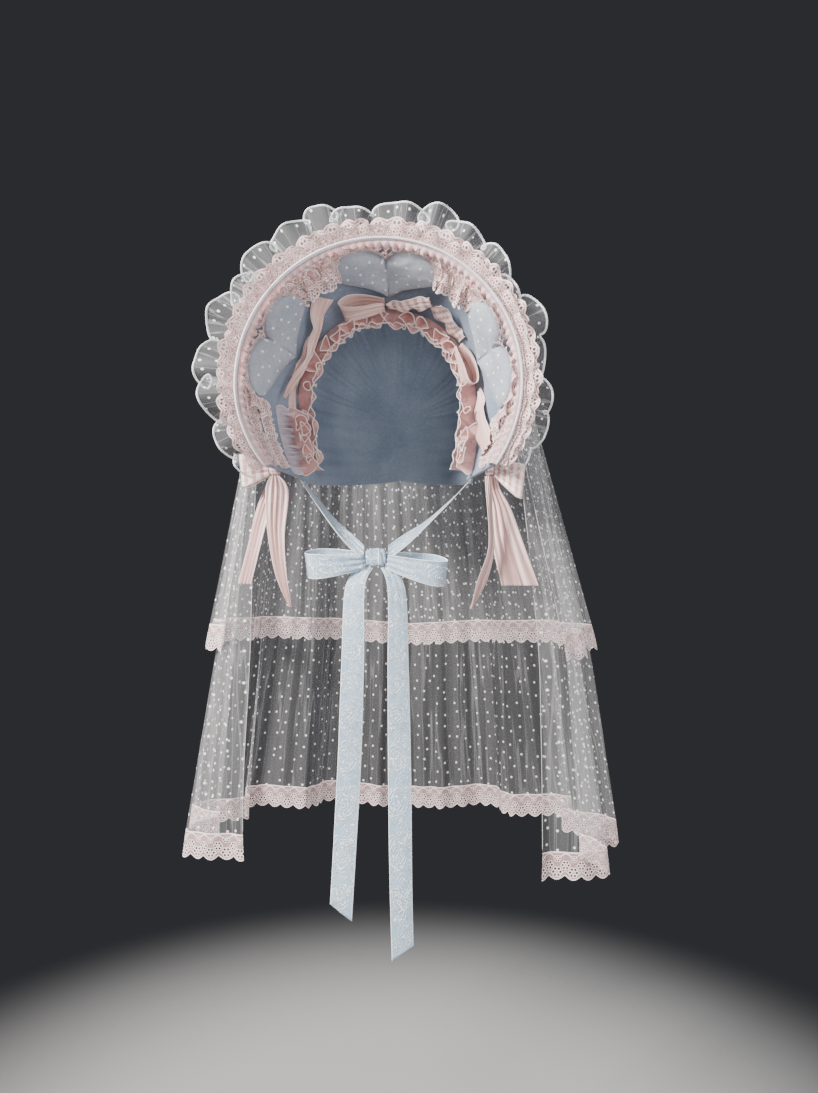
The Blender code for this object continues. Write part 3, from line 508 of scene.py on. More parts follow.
def on_heart(angle, side, up, rise):
    """A point over the brim's inner face, from a heart's own shares across and up the slope."""
    slope_length = (rim_point(angle) - seam_point(angle)).length
    slope = HEART_TOP_SLOPE + up * HEART_HEIGHT / slope_length
    width = CROWN_RADIUS + (BRIM_RIM_RADIUS - CROWN_RADIUS) * slope
    turned = angle + side * HEART_HALF_WIDTH / width * 180.0 / pi
    return on_brim(turned, slope, BRIM_WALL / 2 + rise)


def heart_share(turn, reach):
    """A share of the way from a heart's middle to its edge, as shares of its half width and height."""
    return [middle + (edge - middle) * reach for middle, edge in zip(HEART_MIDDLE, heart_outline(turn))]


def heart_place(angle, turn, reach, rise):
    """A point over the brim's inner face, a share of the way from a heart's middle to its edge."""
    return on_heart(angle, *heart_share(turn, reach), rise)


def heart_span(turn):
    """The real distance from a heart's middle to its edge."""
    side, up = heart_outline(turn)
    return sqrt((side * HEART_HALF_WIDTH) ** 2 + ((up - HEART_MIDDLE[1]) * HEART_HEIGHT) ** 2)


def eased(table, count):
    """A table's columns at even shares of its length, on a smooth curve through its rows."""
    rows = []
    for place in steps(count, 0.0, len(table) - 1):
        at = min(int(place), len(table) - 2)
        share = place - at
        near = [table[min(max(at + offset, 0), len(table) - 1)] for offset in (-1, 0, 1, 2)]
        row = []
        for before, low, high, after in zip(*near):
            pull, push = (high - before) / 2, (after - low) / 2
            row.append((2 * share ** 3 - 3 * share ** 2 + 1) * low
                       + (share ** 3 - 2 * share ** 2 + share) * pull
                       + (3 * share ** 2 - 2 * share ** 3) * high + (share ** 3 - share ** 2) * push)
        rows.append(row)
    return rows


# The cloths by name, each with its slot
FINISHES = {}


def dress(name, mesh, finish, *nodes):
    """A finished mesh as a piece that rides on the bonnet in place of some of its solids."""
    slot, material = FINISHES[finish]
    piece = bpy.data.objects.new(name, mesh)
    bpy.context.scene.collection.objects.link(piece)
    mesh.materials.append(material)
    mesh.shade_smooth()
    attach(piece, "root")
    if nodes:
        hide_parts(*nodes)
    return piece


def to_mesh(work, name):
    """A mesh from its work."""
    mesh = bpy.data.meshes.new(name)
    work.to_mesh(mesh)
    work.free()
    return mesh


def rulers(grid, columns, rows, width):
    """The real distances along a sheet's longer edge and across its longer end, or stretched to a width."""
    def longest(lines, full):
        runs = [[0.0, *accumulate((second - first).length for first, second in zip(line, line[1:]))]
                for line in lines]
        best = max(runs, key=lambda run: run[-1])
        share = (full or best[-1]) / max(best[-1], 0.0001)
        return [place * share for place in best]

    along = longest([[grid[column, row] for column in range(columns + 1)] for row in (0, rows)], None)
    across = longest([[grid[column, row] for row in range(rows + 1)] for column in (0, columns // 2)], width)
    return along, across


def woven(name, columns, rows, place, width=None, chart=None, turned=False):
    """A sheet as a fine grid: place(u, v) gives its points, and its cloth map is in metres."""
    work = bmesh.new()
    cloth = work.loops.layers.uv.new("cloth")
    bmesh.ops.create_grid(work, x_segments=columns, y_segments=rows, size=0.5)
    spots = {vert: (round((vert.co.x + 0.5) * columns), round((vert.co.y + 0.5) * rows))
             for vert in work.verts}
    grid = {(column, row): place(column / columns, row / rows) for column, row in spots.values()}
    along, across = rulers(grid, columns, rows, width)
    for face in work.faces:
        for loop in face.loops:
            column, row = spots[loop.vert]
            loop[cloth].uv = chart(column / columns, row / rows) if chart else (along[column], across[row])
    for vert, spot in spots.items():
        vert.co = grid[spot]
    bmesh.ops.remove_doubles(work, verts=work.verts, dist=0.00002)
    if turned:
        bmesh.ops.reverse_faces(work, faces=work.faces)
    return to_mesh(work, name)


def sheet(name, columns, rows, place, finish, *nodes, width=None, chart=None):
    """A piece of cloth."""
    return dress(name, woven(name, columns, rows, place, width, chart), finish, *nodes)


def thicken(piece, wall):
    """Gives a sheet the wall of its cloth."""
    solidify = piece.modifiers.new("wall", "SOLIDIFY")
    solidify.thickness = wall
    solidify.offset = 0.0


def hang(piece, width):
    """Divides a sheet's area by its width, at least the least cut; the result is not kept."""
    width = max(width, LEAST_CUT)
    area = sum(face.area for face in piece.data.polygons)
    area / width


def lay_cord(name, path, radius, sides, finish, *nodes):
    """A round cord along a list of points, closed at both ends."""
    count = len(path) - 1
    frames = []
    for index, centre in enumerate(path):
        along = (path[min(index + 1, count)] - path[max(index - 1, 0)]).normalized()
        out = along.cross(Vector((0.0, 1.0, 0.02))).normalized()
        frames.append((centre, out, along.cross(out)))

    def place(u, v):
        centre, out, front = frames[round(u * count)]
        reach = 0.0 if u in (0.0, 1.0) else radius
        return centre + (out * cos(2 * pi * v) + front * sin(2 * pi * v)) * reach

    return dress(name, woven(name, count, sides, place, turned=True), finish, *nodes)


def sew(name, columns, rows, place, finish, *nodes, width, flat=None, edge=None):
    """A gathered sheet on the brim, with a cord along its free edge where one is given."""
    piece = sheet(name, columns, rows, place, finish, *nodes, width=width)
    if edge:
        edge_name, radius, sides, cord = edge
        lay_cord(edge_name, [place(u, 1.0) for u in steps(columns)], radius, sides, cord)
    hang(piece, flat or width)


def weave_noise(u, v, seed):
    """A smooth random value from -1 to 1 for a place on a sheet."""
    return noise(Vector((u, v, seed)))


class Number:
    """A number in a shader; every sum on it adds a node."""

    def __init__(self, finish, socket):
        self.finish = finish
        self.socket = socket

    def __add__(self, other):
        return self.finish.math("ADD", self, other)

    def __sub__(self, other):
        return self.finish.math("SUBTRACT", self, other)

    def __rsub__(self, other):
        return self.finish.math("SUBTRACT", other, self)

    def __mul__(self, other):
        return self.finish.math("MULTIPLY", self, other)


class Finish:
    """A cloth's shader, with its patterns on the piece's own cloth map."""

    def __init__(self, name, roughness, sheen=0.0, specular=0.3, anisotropy=0.0):
        self.material = bpy.data.materials.new(name)
        self.material.use_nodes = True
        self.tree = self.material.node_tree
        self.shader = self.tree.nodes["Principled BSDF"]
        for key, value in (("Roughness", roughness), ("Specular IOR Level", specular),
                           ("Sheen Weight", sheen),
                           ("Sheen Roughness", SHEEN_ROUGHNESS), ("Anisotropic", anisotropy)):
            self.shader.inputs[key].default_value = value

    def feed(self, made, key, value):
        """Links a number or a socket to a node's input, or sets a value on it."""
        socket = value.socket if isinstance(value, Number) else value
        if isinstance(socket, bpy.types.NodeSocket):
            self.tree.links.new(socket, made.inputs[key])
        elif value is not None:
            made.inputs[key].default_value = (*value, 1.0) if made.inputs[key].type == "RGBA" else value

    def node(self, kind, *inputs, **settings):
        """A node with its settings, and its inputs in order."""
        made = self.tree.nodes.new("ShaderNode" + kind)
        for key, value in settings.items():
            setattr(made, key, value)
        for index, value in enumerate(inputs):
            self.feed(made, index, value)
        return made

    def math(self, operation, *inputs):
        """One sum on numbers."""
        return Number(self, self.node("Math", *inputs, operation=operation).outputs[0])

    def span(self, first, second):
        """The length of two numbers at right angles."""
        return self.math("SQRT", first * first + second * second)

    def step(self, value, low, high):
        """0 below low and 1 above high, with a soft step between; low may be the greater."""
        made = self.node("MapRange", value, low, high, 0.0, 1.0, interpolation_type="SMOOTHSTEP")
        return Number(self, made.outputs[0])

    def line(self, value, centre, half, soft):
        """1 where a value lies within half of centre."""
        return self.step(self.math("ABSOLUTE", value - centre), half + soft, half)

    def edges(self, across, width, low, high):
        """1 along both edges of a ribbon."""
        return 1.0 - self.step(self.math("PINGPONG", across, width / 2), low, high)

    def most(self, *values):
        """The greatest of several values."""
        result = values[0]
        for value in values[1:]:
            result = self.math("MAXIMUM", result, value)
        return result

    def mix(self, share, low, high):
        """A colour between two."""
        made = self.node("Mix", data_type="RGBA")
        for index, value in ((0, share), (6, low), (7, high)):
            self.feed(made, index, value)
        return made.outputs[2]

    def split(self, place):
        """A place's first two parts."""
        parts = self.node("SeparateXYZ", place).outputs
        return Number(self, parts[0]), Number(self, parts[1])

    def cloth_map(self):
        """The place on the cloth in metres: as a vector, along and across."""
        place = self.node("UVMap", uv_map="cloth").outputs[0]
        return (place, *self.split(place))

    def object_place(self):
        """The place in the bonnet's own frame."""
        return self.node("TexCoord").outputs["Object"]

    def mapped(self, place, scale=None, shift=None):
        """A place, stretched by a scale or moved."""
        return self.node("Mapping", place, shift, None, scale).outputs[0]

    def noise(self, place, scale, detail=3.0, roughness=0.5):
        """Soft random values."""
        made = self.node("TexNoise", place, noise_dimensions="3D")
        for key, value in (("Scale", scale), ("Detail", detail), ("Roughness", roughness)):
            made.inputs[key].default_value = value
        return Number(self, made.outputs[0])

    def cells(self, place, pitch, feature="F1", randomness=1.0):
        """The distance to the middle or the edge of scattered cells, as a share of their pitch."""
        made = self.node("TexVoronoi", place, voronoi_dimensions="2D", feature=feature)
        made.inputs["Scale"].default_value = 1.0 / pitch
        made.inputs["Randomness"].default_value = randomness
        return Number(self, made.outputs["Distance"])

    def dots(self, place, pitch, randomness, soft):
        """The woven dots of tulle."""
        size = DOT_RADIUS / pitch
        return self.step(self.cells(place, pitch, randomness=randomness), size + soft, size - soft)

    def shade(self, colour, alpha=None, roughness=None, relief=None, depth=None):
        """Gives the shader its colour, the cloth's density, and a relief of 0 to 1 with a depth in metres."""
        for key, value in (("Base Color", colour), ("Alpha", alpha), ("Roughness", roughness)):
            self.feed(self.shader, key, value)
        if relief:
            made = self.node("Bump")
            for key, value in (("Strength", 1.0), ("Distance", depth), ("Height", relief)):
                self.feed(made, key, value)
            self.feed(self.shader, "Normal", made.outputs[0])
        return self.material


def weave_height(finish, along, across, pitch):
    """The crossed threads of a plain weave."""
    warp, weft = (finish.math("SINE", way * (2 * pi / pitch)) for way in (along, across))
    return warp * weft * 0.5 + 0.5


def cotton(name, dark, pale, dots=False):
    """Matt pale cotton; a heart's cotton lies under a layer of dotted tulle."""
    finish = Finish(name, 0.8, sheen=0.25, specular=0.25)
    place, along, across = finish.cloth_map()
    slubs = finish.noise(finish.object_place(), 420.0, 3.0, 0.6)
    share = slubs * 0.45 + finish.noise(finish.object_place(), 24.0) * 0.5
    tone = finish.mix(finish.step(share, 0.25, 0.75), dark, pale)
    height = weave_height(finish, along, across, 0.0011) * 0.4 + slubs
    if dots:
        spots = finish.dots(place, HEART_DOT_PITCH, 0.4, 0.03)
        tone = finish.mix(spots, tone, (0.90, 0.90, 0.90))
        height = spots * 0.8 + height
    return finish.shade(tone, relief=height, depth=0.00018)


def tulle(name, tone, density, grain, crease):
    """Sheer tulle with small white dots in loose rows, and soft creases along its grain."""
    finish = Finish(name, 0.62, sheen=0.3, specular=0.25)
    place = finish.cloth_map()[0]
    spots = finish.dots(place, TULLE_DOT_PITCH, 0.55, 0.035)
    drawn = finish.noise(finish.mapped(place, grain), 85.0, 2.0)
    veil = finish.line(drawn, 0.5, 0.004, 0.022) * crease + (drawn * 0.16 + (density - 0.08))
    return finish.shade(finish.mix(spots, tone, DOT_TONE), alpha=finish.most(spots, veil))


def lace(name, dark, pale, width, pitch, ground, flowers=((0.0, 0.52, 1.0),)):
    """Cotton lace: a net ground, flowers of eyelets in each repeat, corded waves and a scalloped edge."""
    finish = Finish(name, 0.75, sheen=0.3, specular=0.25)
    place, along, across = finish.cloth_map()
    turn = along * (2 * pi / pitch)
    marks = []
    for shift, height, size in flowers:
        cell = finish.math("WRAP", along + pitch * shift, pitch / 2, -pitch / 2)
        lift = across - width * height
        reach = finish.span(cell, lift)
        petal = finish.math("WRAP", finish.math("ARCTAN2", lift, cell), pi / LACE_PETALS, -pi / LACE_PETALS)
        ring = min(width, pitch) * 0.25 * size
        eyelet = finish.span(reach * finish.math("SINE", petal), reach * finish.math("COSINE", petal) - ring)
        marks.append((finish.step(eyelet, ring * 0.38, ring * 0.26),
                      finish.line(eyelet, ring * 0.52, ring * 0.12, ring * 0.06),
                      finish.step(reach, ring * 1.75, ring * 1.45),
                      finish.step(reach, ring * 0.36, ring * 0.24)))
    holes, rims, flower, heart = (finish.most(*parts) for parts in zip(*marks))
    edge = finish.math("ABSOLUTE", finish.math("COSINE", turn * 0.5)) * (width * 0.16) + width * 0.82 - across
    wave = finish.math("COSINE", turn) * (width * 0.07) + width * 0.13
    cords = finish.most(finish.line(edge, 0.0008, CORD_HALF, CORD_SOFT),
                        finish.line(across - wave, 0.0, CORD_HALF, CORD_SOFT),
                        finish.line(edge, width * 0.17, 0.0004, CORD_SOFT),
                        finish.step(across, LACE_SEWN_EDGE * 1.3, LACE_SEWN_EDGE))
    net = finish.step(finish.cells(place, LACE_NET, "DISTANCE_TO_EDGE"), 0.22, 0.06)
    cloth = finish.most(cords, rims, heart, flower * 0.82, net * 0.35 + ground)
    tint = finish.noise(place, 240.0) * 0.6 + cords * 0.5
    tone = finish.mix(finish.step(tint, 0.15, 0.85), dark, pale)
    return finish.shade(finish.mix(finish.most(rims, cords), tone, pale),
                        alpha=cloth * (1.0 - holes * 0.85) * finish.step(edge, 0.0, CORD_SOFT),
                        relief=finish.most(cords, rims, heart, net * 0.5), depth=0.0005)


def checked_ribbon(name, width, dark, pale):
    """Ribbon with satin bars across it, woven stripes along it and pale edges."""
    finish = Finish(name, 0.36, sheen=0.2, specular=0.5, anisotropy=0.3)
    place, along, across = finish.cloth_map()
    bar = finish.step(finish.math("PINGPONG", along, RIBBON_CHECK / 2), RIBBON_CHECK * 0.20,
                      RIBBON_CHECK * 0.24)
    stripe = finish.step(finish.math("PINGPONG", across, width / 10), width * 0.052, width * 0.066)
    rib = finish.math("SINE", along * (2 * pi / RIBBON_RIB)) * 0.5 + 0.5
    edges = finish.edges(across, width, 0.0008, 0.0014)
    tone = finish.mix(bar * 0.68 + stripe * 0.26 + (finish.noise(place, 120.0) * 0.3 - 0.1), dark, pale)
    return finish.shade(finish.mix(edges, tone, (0.92, 0.80, 0.76)), roughness=bar * -0.14 + 0.46,
                        relief=rib * 0.25 + finish.most(bar, edges), depth=0.0002)


def striped_ribbon(name, dark, pale, sheer):
    """Ribbon with fine stripes along it, and sheer between them below 1."""
    finish = Finish(name, 0.42, sheen=0.25, specular=0.4)
    place, _, across = finish.cloth_map()
    stripe = finish.step(finish.noise(finish.mapped(place, (0.02, 1.0, 1.0)), 330.0, 2.0), 0.42, 0.60)
    edges = finish.edges(across, PINK_RIBBON_WIDTH, 0.0006, 0.0011)
    share = finish.most(finish.noise(place, 50.0) * 0.5 + stripe * 0.5, edges * 0.9)
    return finish.shade(finish.mix(share, dark, pale),
                        alpha=finish.most(edges, stripe * (1 - sheer) + (sheer - 0.02)),
                        relief=finish.most(stripe, edges), depth=0.00012)


def organza(name, dark, pale, density):
    """Crisp sheer cloth with a soft sheen."""
    finish = Finish(name, 0.45, sheen=0.4, specular=0.4)
    drift = finish.noise(finish.object_place(), 90.0, 4.0)
    threads = finish.noise(finish.mapped(finish.cloth_map()[0], (1.0, 8.0, 1.0)), 260.0, 2.0)
    return finish.shade(finish.mix(threads * 0.35 + (drift * 1.2 - 0.3), dark, pale),
                        alpha=threads * 0.30 + (density - 0.12), relief=threads, depth=0.00015)


def figured_satin(name, width):
    """Pale blue satin with raised scrolls that curl to and fro along the ribbon; their near-white colour is
    partly the figure's paler threads and partly a painted highlight.
    """
    finish = Finish(name, 0.34, sheen=0.15, specular=0.5, anisotropy=0.25)
    place, along, across = finish.cloth_map()
    along = finish.noise(finish.object_place(), 4.0, 0.0) * 0.14 + along
    bend = finish.noise(place, 80.0, 2.0)
    warp = finish.noise(finish.mapped(place, shift=(3.0, 1.0, 0.0)), 110.0, 2.0) * 0.020 - 0.010
    cluster = warp * 60.0 + finish.math("COSINE", along * (2 * pi / SCROLL_PITCH))
    rings = finish.math("PINGPONG", bend * 15.0, 0.5)
    strokes = finish.step(rings, 0.18, 0.04) * finish.step(cluster, -1.1, -0.2)
    raised = [finish.edges(across, width, 0.0007, 0.0012), strokes * 0.75]
    for shift, lift, size, hand in SCROLLS:
        cell = finish.math("WRAP", along + SCROLL_PITCH * shift, SCROLL_PITCH / 2, -SCROLL_PITCH / 2) + warp
        side = (warp * -0.8 + across - width * lift) * hand
        reach = finish.span(cell, side)
        curl = reach * (2 * pi / (SCROLL_LINE * size)) + (bend * 5.0 + finish.math("ARCTAN2", side, cell))
        patch = finish.step(bend * (width * 0.5) + reach, width * 0.84 * size, width * 0.66 * size)
        raised.append(finish.step(finish.math("SINE", curl), 0.35, 0.90) * patch)
    height = finish.most(*raised)
    # Painted highlight, partly real: the raised scrolls and strokes go near white, partly as the figure's own
    # paler threads and partly as a painted highlight on the satin.
    drift = finish.noise(place, 28.0, 2.0) * 0.5 + height * 0.75
    return finish.shade(finish.mix(finish.step(drift, 0.15, 1.05), (0.34, 0.49, 0.65), (0.96, 0.99, 1.0)),
                        roughness=height * 0.26 + 0.30,
                        relief=weave_height(finish, along, across, 0.0008) * 0.10 + height, depth=0.0006)


def white_cord(name, tone, pitch):
    """A tightly spun cord."""
    finish = Finish(name, 0.6, sheen=0.2, specular=0.3)
    _, along, across = finish.cloth_map()
    spun = finish.math("SINE", along * (2 * pi / pitch) + across * 900.0) * 0.5 + 0.5
    return finish.shade(finish.mix(spun, [level * 0.86 for level in tone], tone), relief=spun, depth=0.0002)


def build_crown():
    """The soft dome, with its pleats and fine gathers along the seam."""
    def place(u, v):
        angle = round_angle(u)
        point = crown_point(angle, v)
        if v == 1.0:
            return Vector((0.0, point.y, CENTRE_Z if below(angle) == 0 else point.z))
        fine = CROWN_GATHER * (1 - v) * cos(2 * pi * CROWN_PLEATS * 3 * u)
        return point + radial(angle) * (fine + CLOTH_RIPPLE * weave_noise(u * 30, v * 5, 3.0) * (1 - v))

    piece = sheet("crown_cloth", 336, 40, place, "cotton", "crown")
    thicken(piece, CROWN_WALL)
    hang(piece, CROWN_CLOTH_WIDTH)


def build_brim():
    """The stiff flaring brim, a little quilted by the rows of stitches that hold its trims."""
    def place(u, v):
        return on_brim(round_angle(u), v, BRIM_QUILTING * weave_noise(u * 40, v * 4, 7.0) * sin(pi * v))

    thicken(sheet("brim_cloth", 240, 20, place, "cotton", "brim"), BRIM_WALL)
    path = [rim_point(angle) + edge_out(angle) * (BUTT_GAP + PIPING_RADIUS)
            for angle in steps(300, -BRIM_END_ANGLE, 180.0 + BRIM_END_ANGLE)]
    lay_cord("rim_piping", path, PIPING_CORD_RADIUS, 12, "cord", "brim_piping")


def gather(share, level, waves, ways, slip, seed, dip=0.16, uneven=0.14):
    """A point of a ruffle: uneven broad petals, with narrow folds that tuck back and overlap between them."""
    base, reach, lean, fold, along = ways
    wander = weave_noise(share * waves * 0.45, 0.0, seed)
    strength = 1 + 0.9 * weave_noise(share * waves * 0.55, 9.0, seed)
    lobe = weave_noise(share * waves * 0.8, 5.0, seed)
    gathered = waves * share + 0.22 * sin(2 * pi * 3 * share) + 0.10 * sin(2 * pi * 7 * share)
    phase = 2 * pi * gathered + 1.7 * wander
    tuck = 0.5 + 0.5 * cos(phase)
    shorten = 1 - dip * level * strength * tuck ** 1.3 + uneven * level * lobe
    curl = -sin(phase + 0.5 * wander) - 0.22 * sin(2 * phase)
    ripple = cos(phase) + 0.30 * level * cos(2.6 * phase + 4 * lobe)
    return (base + reach * level * shorten + lean * level + fold * level * strength * ripple
            + along * slip * level ** 0.8 * strength * curl)


def rim_ruffle_frame(share, length, fold, lean, column, layer):
    """Where a rim ruffle is sewn on, and the ways that it reaches, leans, folds and runs."""
    angle = round_angle(share)
    seat = FACE_SEAT + RUFFLE_WALL / 2
    base = on_brim(angle, 1.0, -seat) - edge_out(angle) * RUFFLE_SEAT
    base.y += layer * (RUFFLE_WALL + LAYER_GAP)
    spread = between(RIM_SPREAD, angle, column)
    back = Vector((0.0, spread, 0.0))
    return base, radial(angle) * length * spread, back * lean, back * fold, round_brim(angle, 1.0) * spread


def build_rim_ruffles():
    """Two layers of pink lace, and behind them the sheer tulle with its bright rolled edge."""
    for name, share, lean, shift, seed, nodes in LACE_LAYERS:
        length = LACE_RUFFLE_LENGTH * share

        def place(u, v):
            ways = rim_ruffle_frame(u, length, LACE_FOLD, -LACE_RUFFLE_LEAN * lean, 2, 0)
            start = u + shift / LACE_RUFFLE_WAVES
            return gather(start, v, LACE_RUFFLE_WAVES, ways, LACE_RUFFLE_SLIP, seed, 0.18, 0.12)

        sew(name, 1008, 14, place, "ruffle lace", *nodes, width=LACE_RUFFLE_LENGTH, flat=length)

    def tulle_place(u, v):
        ways = rim_ruffle_frame(u, TULLE_RUFFLE_LENGTH, TULLE_RUFFLE_FOLD, TULLE_RUFFLE_LEAN, 1, 1)
        return gather(u, v, TULLE_RUFFLE_WAVES, ways, TULLE_RUFFLE_SLIP, 11.0, 0.27, 0.38)

    sew("tulle_ruffle_cloth", 960, 18, tulle_place, "ruffle tulle", "tulle_ruffle", width=TULLE_RUFFLE_LENGTH,
        edge=("tulle_ruffle_edge", ROLLED_EDGE_RADIUS, 6, "edge cord"))


def build_inner_trim():
    """The narrow gathered band just inside the piping."""
    def place(u, v):
        angle = round_angle(u)
        over = min(1.0, v * 6)
        base = on_brim(angle, 1.0, (FACE_SEAT + TRIM_WALL / 2) * over) + edge_out(angle) * TRIM_TURN
        puff = sin(pi * min(1.0, v * 1.3)) * TRIM_PUFF * (0.7 + 0.3 * cos(2 * pi * TRIM_GATHERS * u))
        frill = v ** 2 * TRIM_FRILL * cos(2 * pi * TRIM_GATHERS * u + 2.0 * weave_noise(u * 60, 0.0, 2.0))
        return base - up_slope(angle) * TRIM_BAND * v + inward(angle, TRIM_SLOPE) * (puff + frill)

    sew("inner_trim_cloth", 1400, 8, place, "trim organza", "brim_inner_trim", width=TRIM_BAND,
        edge=("inner_trim_edge", TRIM_EDGE_RADIUS, 4, "pale thread"))


def build_face_ruffle():
    """The organza ruffle round the face, with its pale corded edge."""
    def place(u, v):
        angle = round_angle(u, FACE_RUFFLE_END)
        base = on_brim(angle, FACE_RUFFLE_SLOPE, FACE_SEAT)
        along = round_brim(angle, FACE_RUFFLE_SLOPE)
        depth = sqrt(FACE_RUFFLE_LENGTH ** 2 - FACE_RUFFLE_RISE ** 2)
        turned = (inward(angle, FACE_RUFFLE_SLOPE) * depth + up_slope(angle) * FACE_RUFFLE_RISE).normalized()
        fold = turned.cross(along).normalized() * FACE_RUFFLE_FOLD
        ways = (base, turned * FACE_RUFFLE_LENGTH, Vector(), fold, along)
        return gather(u, v, FACE_CURLS, ways, FACE_RUFFLE_CURL, 17.0, 0.10, 0.16)

    sew("face_ruffle_cloth", 1008, 14, place, "organza", "face_ruffle", width=FACE_RUFFLE_LENGTH,
        edge=("face_ruffle_edge", FACE_EDGE_RADIUS, 6, "pale thread"))


def build_brim_frill(name, finish, line, length, tilt, waves, slip, fold):
    """A gathered frill that stands or lies on the brim's inner face; organza has a pale edge."""
    def place(u, v):
        angle, slope = (low + (high - low) * u for low, high in zip(*line))
        v = v * min(1.0, 0.04 + 2.6 * waves * u * (1 - u)) + 0.001
        base = on_brim(angle, slope, FACE_SEAT + LAYER_GAP)
        inside, up = inward(angle, slope), up_slope(angle)
        ways = (base, (inside * cos(tilt) + up * sin(tilt)) * length, Vector(),
                (up * cos(tilt) - inside * sin(tilt)) * fold, round_brim(angle, slope))
        return gather(u, v, waves, ways, slip, 2.0 * waves, 0.08, 0.22)

    pale = FINISHES[finish][0] == "pink_organza"
    edge = (name + "_edge", FRILL_EDGE_RADIUS, 6, "pale thread") if pale else None
    sew(name, waves * 34, 14, place, finish, width=length, edge=edge)


def build_heart(name, angle):
    """A stuffed heart, swollen by its filling between the seam at its edge and the crease down its middle."""
    rings = HEART_RINGS
    profile = eased(HEART_PROFILE, rings)

    def place(u, v):
        spot = profile[round(v * rings)]
        reach, height = min(1.0, max(0.0, spot[1])), max(0.0, spot[2])
        turn = 2 * pi * u
        crease = 1 - HEART_CREASE * (1 - min(1.0, abs(sin(turn)) * reach * 2.2)) * (height > 0)
        pucker = 1 + 0.06 * sin(turn * 19) * (reach > 0.7) * (1 - reach) * 3
        return heart_place(angle, turn, reach, LAYER_GAP + HEART_PAD * height * crease * pucker)

    def chart(u, v):
        side, up = heart_share(2 * pi * u, profile[round(v * rings)][1])
        return side * HEART_HALF_WIDTH, up * HEART_HEIGHT

    piece = sheet("heart_{}_pad".format(name), 96, rings, place, "heart cotton", "heart_" + name, chart=chart)
    fill_heart(piece, angle)
    smooth = piece.modifiers.new("smooth", "SUBSURF")
    smooth.levels = smooth.render_levels = 1


def fill_heart(piece, angle):
    """Lets the filling press the heart's front out a little, with its edge and crease sewn down."""
    middle = on_heart(angle, *HEART_MIDDLE, LAYER_GAP)
    up = inward(angle, HEART_TOP_SLOPE)
    along = round_brim(angle, HEART_TOP_SLOPE)
    sewn = piece.vertex_groups.new(name="sewn")
    for vert in piece.data.vertices:
        off = vert.co - middle
        if off.dot(up) < HEART_PAD * 0.30 or abs(off.dot(along)) < HEART_CREASE_REACH:
            sewn.add([vert.index], 1.0, "REPLACE")
    cloth = piece.modifiers.new("filling", "CLOTH")
    cloth.settings.vertex_group_mass = "sewn"
    cloth.settings.use_pressure = True
    cloth.settings.uniform_pressure_force = HEART_PRESSURE
    cloth.settings.effector_weights.gravity = 0.0
    cloth.settings.tension_stiffness = cloth.settings.compression_stiffness = HEART_STIFFNESS
    for frame_number in range(1, HEART_FRAMES + 1):
        bpy.context.scene.frame_set(frame_number)
    swollen = piece.evaluated_get(bpy.context.evaluated_depsgraph_get())
    pressed = [vert.co.copy() for vert in swollen.data.vertices]
    piece.modifiers.remove(cloth)
    for vert, after in zip(piece.data.vertices, pressed):
        move = after - vert.co
        vert.co += move * min(1.0, HEART_SWELL / max(move.length, 1e-6))
    bpy.context.scene.frame_set(1)


def build_heart_lace(name, angle):
    """The gathered lace that stands up round a heart's lobes."""
    def place(u, v):
        side = 2 * u - 1
        turn = side * HEART_LACE_TURN
        phase = 2 * pi * HEART_FRILL_WAVES * u + 1.8 * weave_noise(u * 7, 0.0, angle)
        spread = between(HEART_LACE_SPREAD, abs(side))
        out = LAYER_GAP + 1.5 * HEART_LACE_WALL + HEART_FRILL_REACH * spread * v
        reach = 1 + out / heart_span(turn)
        lift = HEART_FRILL_RISE * sin(pi / 2 * v) + HEART_FRILL_FOLD * v * cos(phase)
        point = heart_place(angle, turn, reach, LAYER_GAP + 2 * HEART_LACE_WALL + max(0.0, lift))
        return point + round_brim(angle, 0.8) * HEART_FRILL_FOLD * 0.9 * v * sin(phase)

    sew("heart_{}_frill".format(name), 420, 12, place, "heart lace", "heart_lace_" + name,
        width=HEART_FRILL_WIDTH)


def strip(name, centres, acrosses, finish, width, cup=0.0, pinch=(0.0, 0.0), cut=0.0,
          flutter=0.0, pleat=0.0):
    """A ribbon along its centres, each with its half width as a vector; it cups, flutters and pleats."""
    count = len(centres) - 1

    def place(u, v):
        index = round(u * count)
        centre, across = centres[index], acrosses[index]
        along = (centres[min(index + 1, count)] - centres[max(index - 1, 0)]).normalized()
        up = along.cross(across).normalized()
        side = 2 * v - 1
        squeeze = pinch[0] * (1 - u) ** 6 + pinch[1] * u ** 6
        lift = cup * (1 - side ** 2) + squeeze * cos(3 * pi * side)
        lift += flutter * side * sin(2 * pi * 2.3 * u + 1.0)
        lift += 0.6 * flutter * side ** 2 * cos(2 * pi * 3.1 * u)
        lift += pleat * cos(pi * side * 4 + 1.5 * sin(3 * u + side)) * (1 - abs(side) ** 3)
        slant = along * side * cut / 2 * max(0.0, 1 - (1 - u) * 20)
        return centre + across * side + up * lift + slant

    piece = sheet(name + "_ribbon", count, 24, place, finish, name, width=width)
    thicken(piece, RIBBON_CLOTH)
    hang(piece, width)


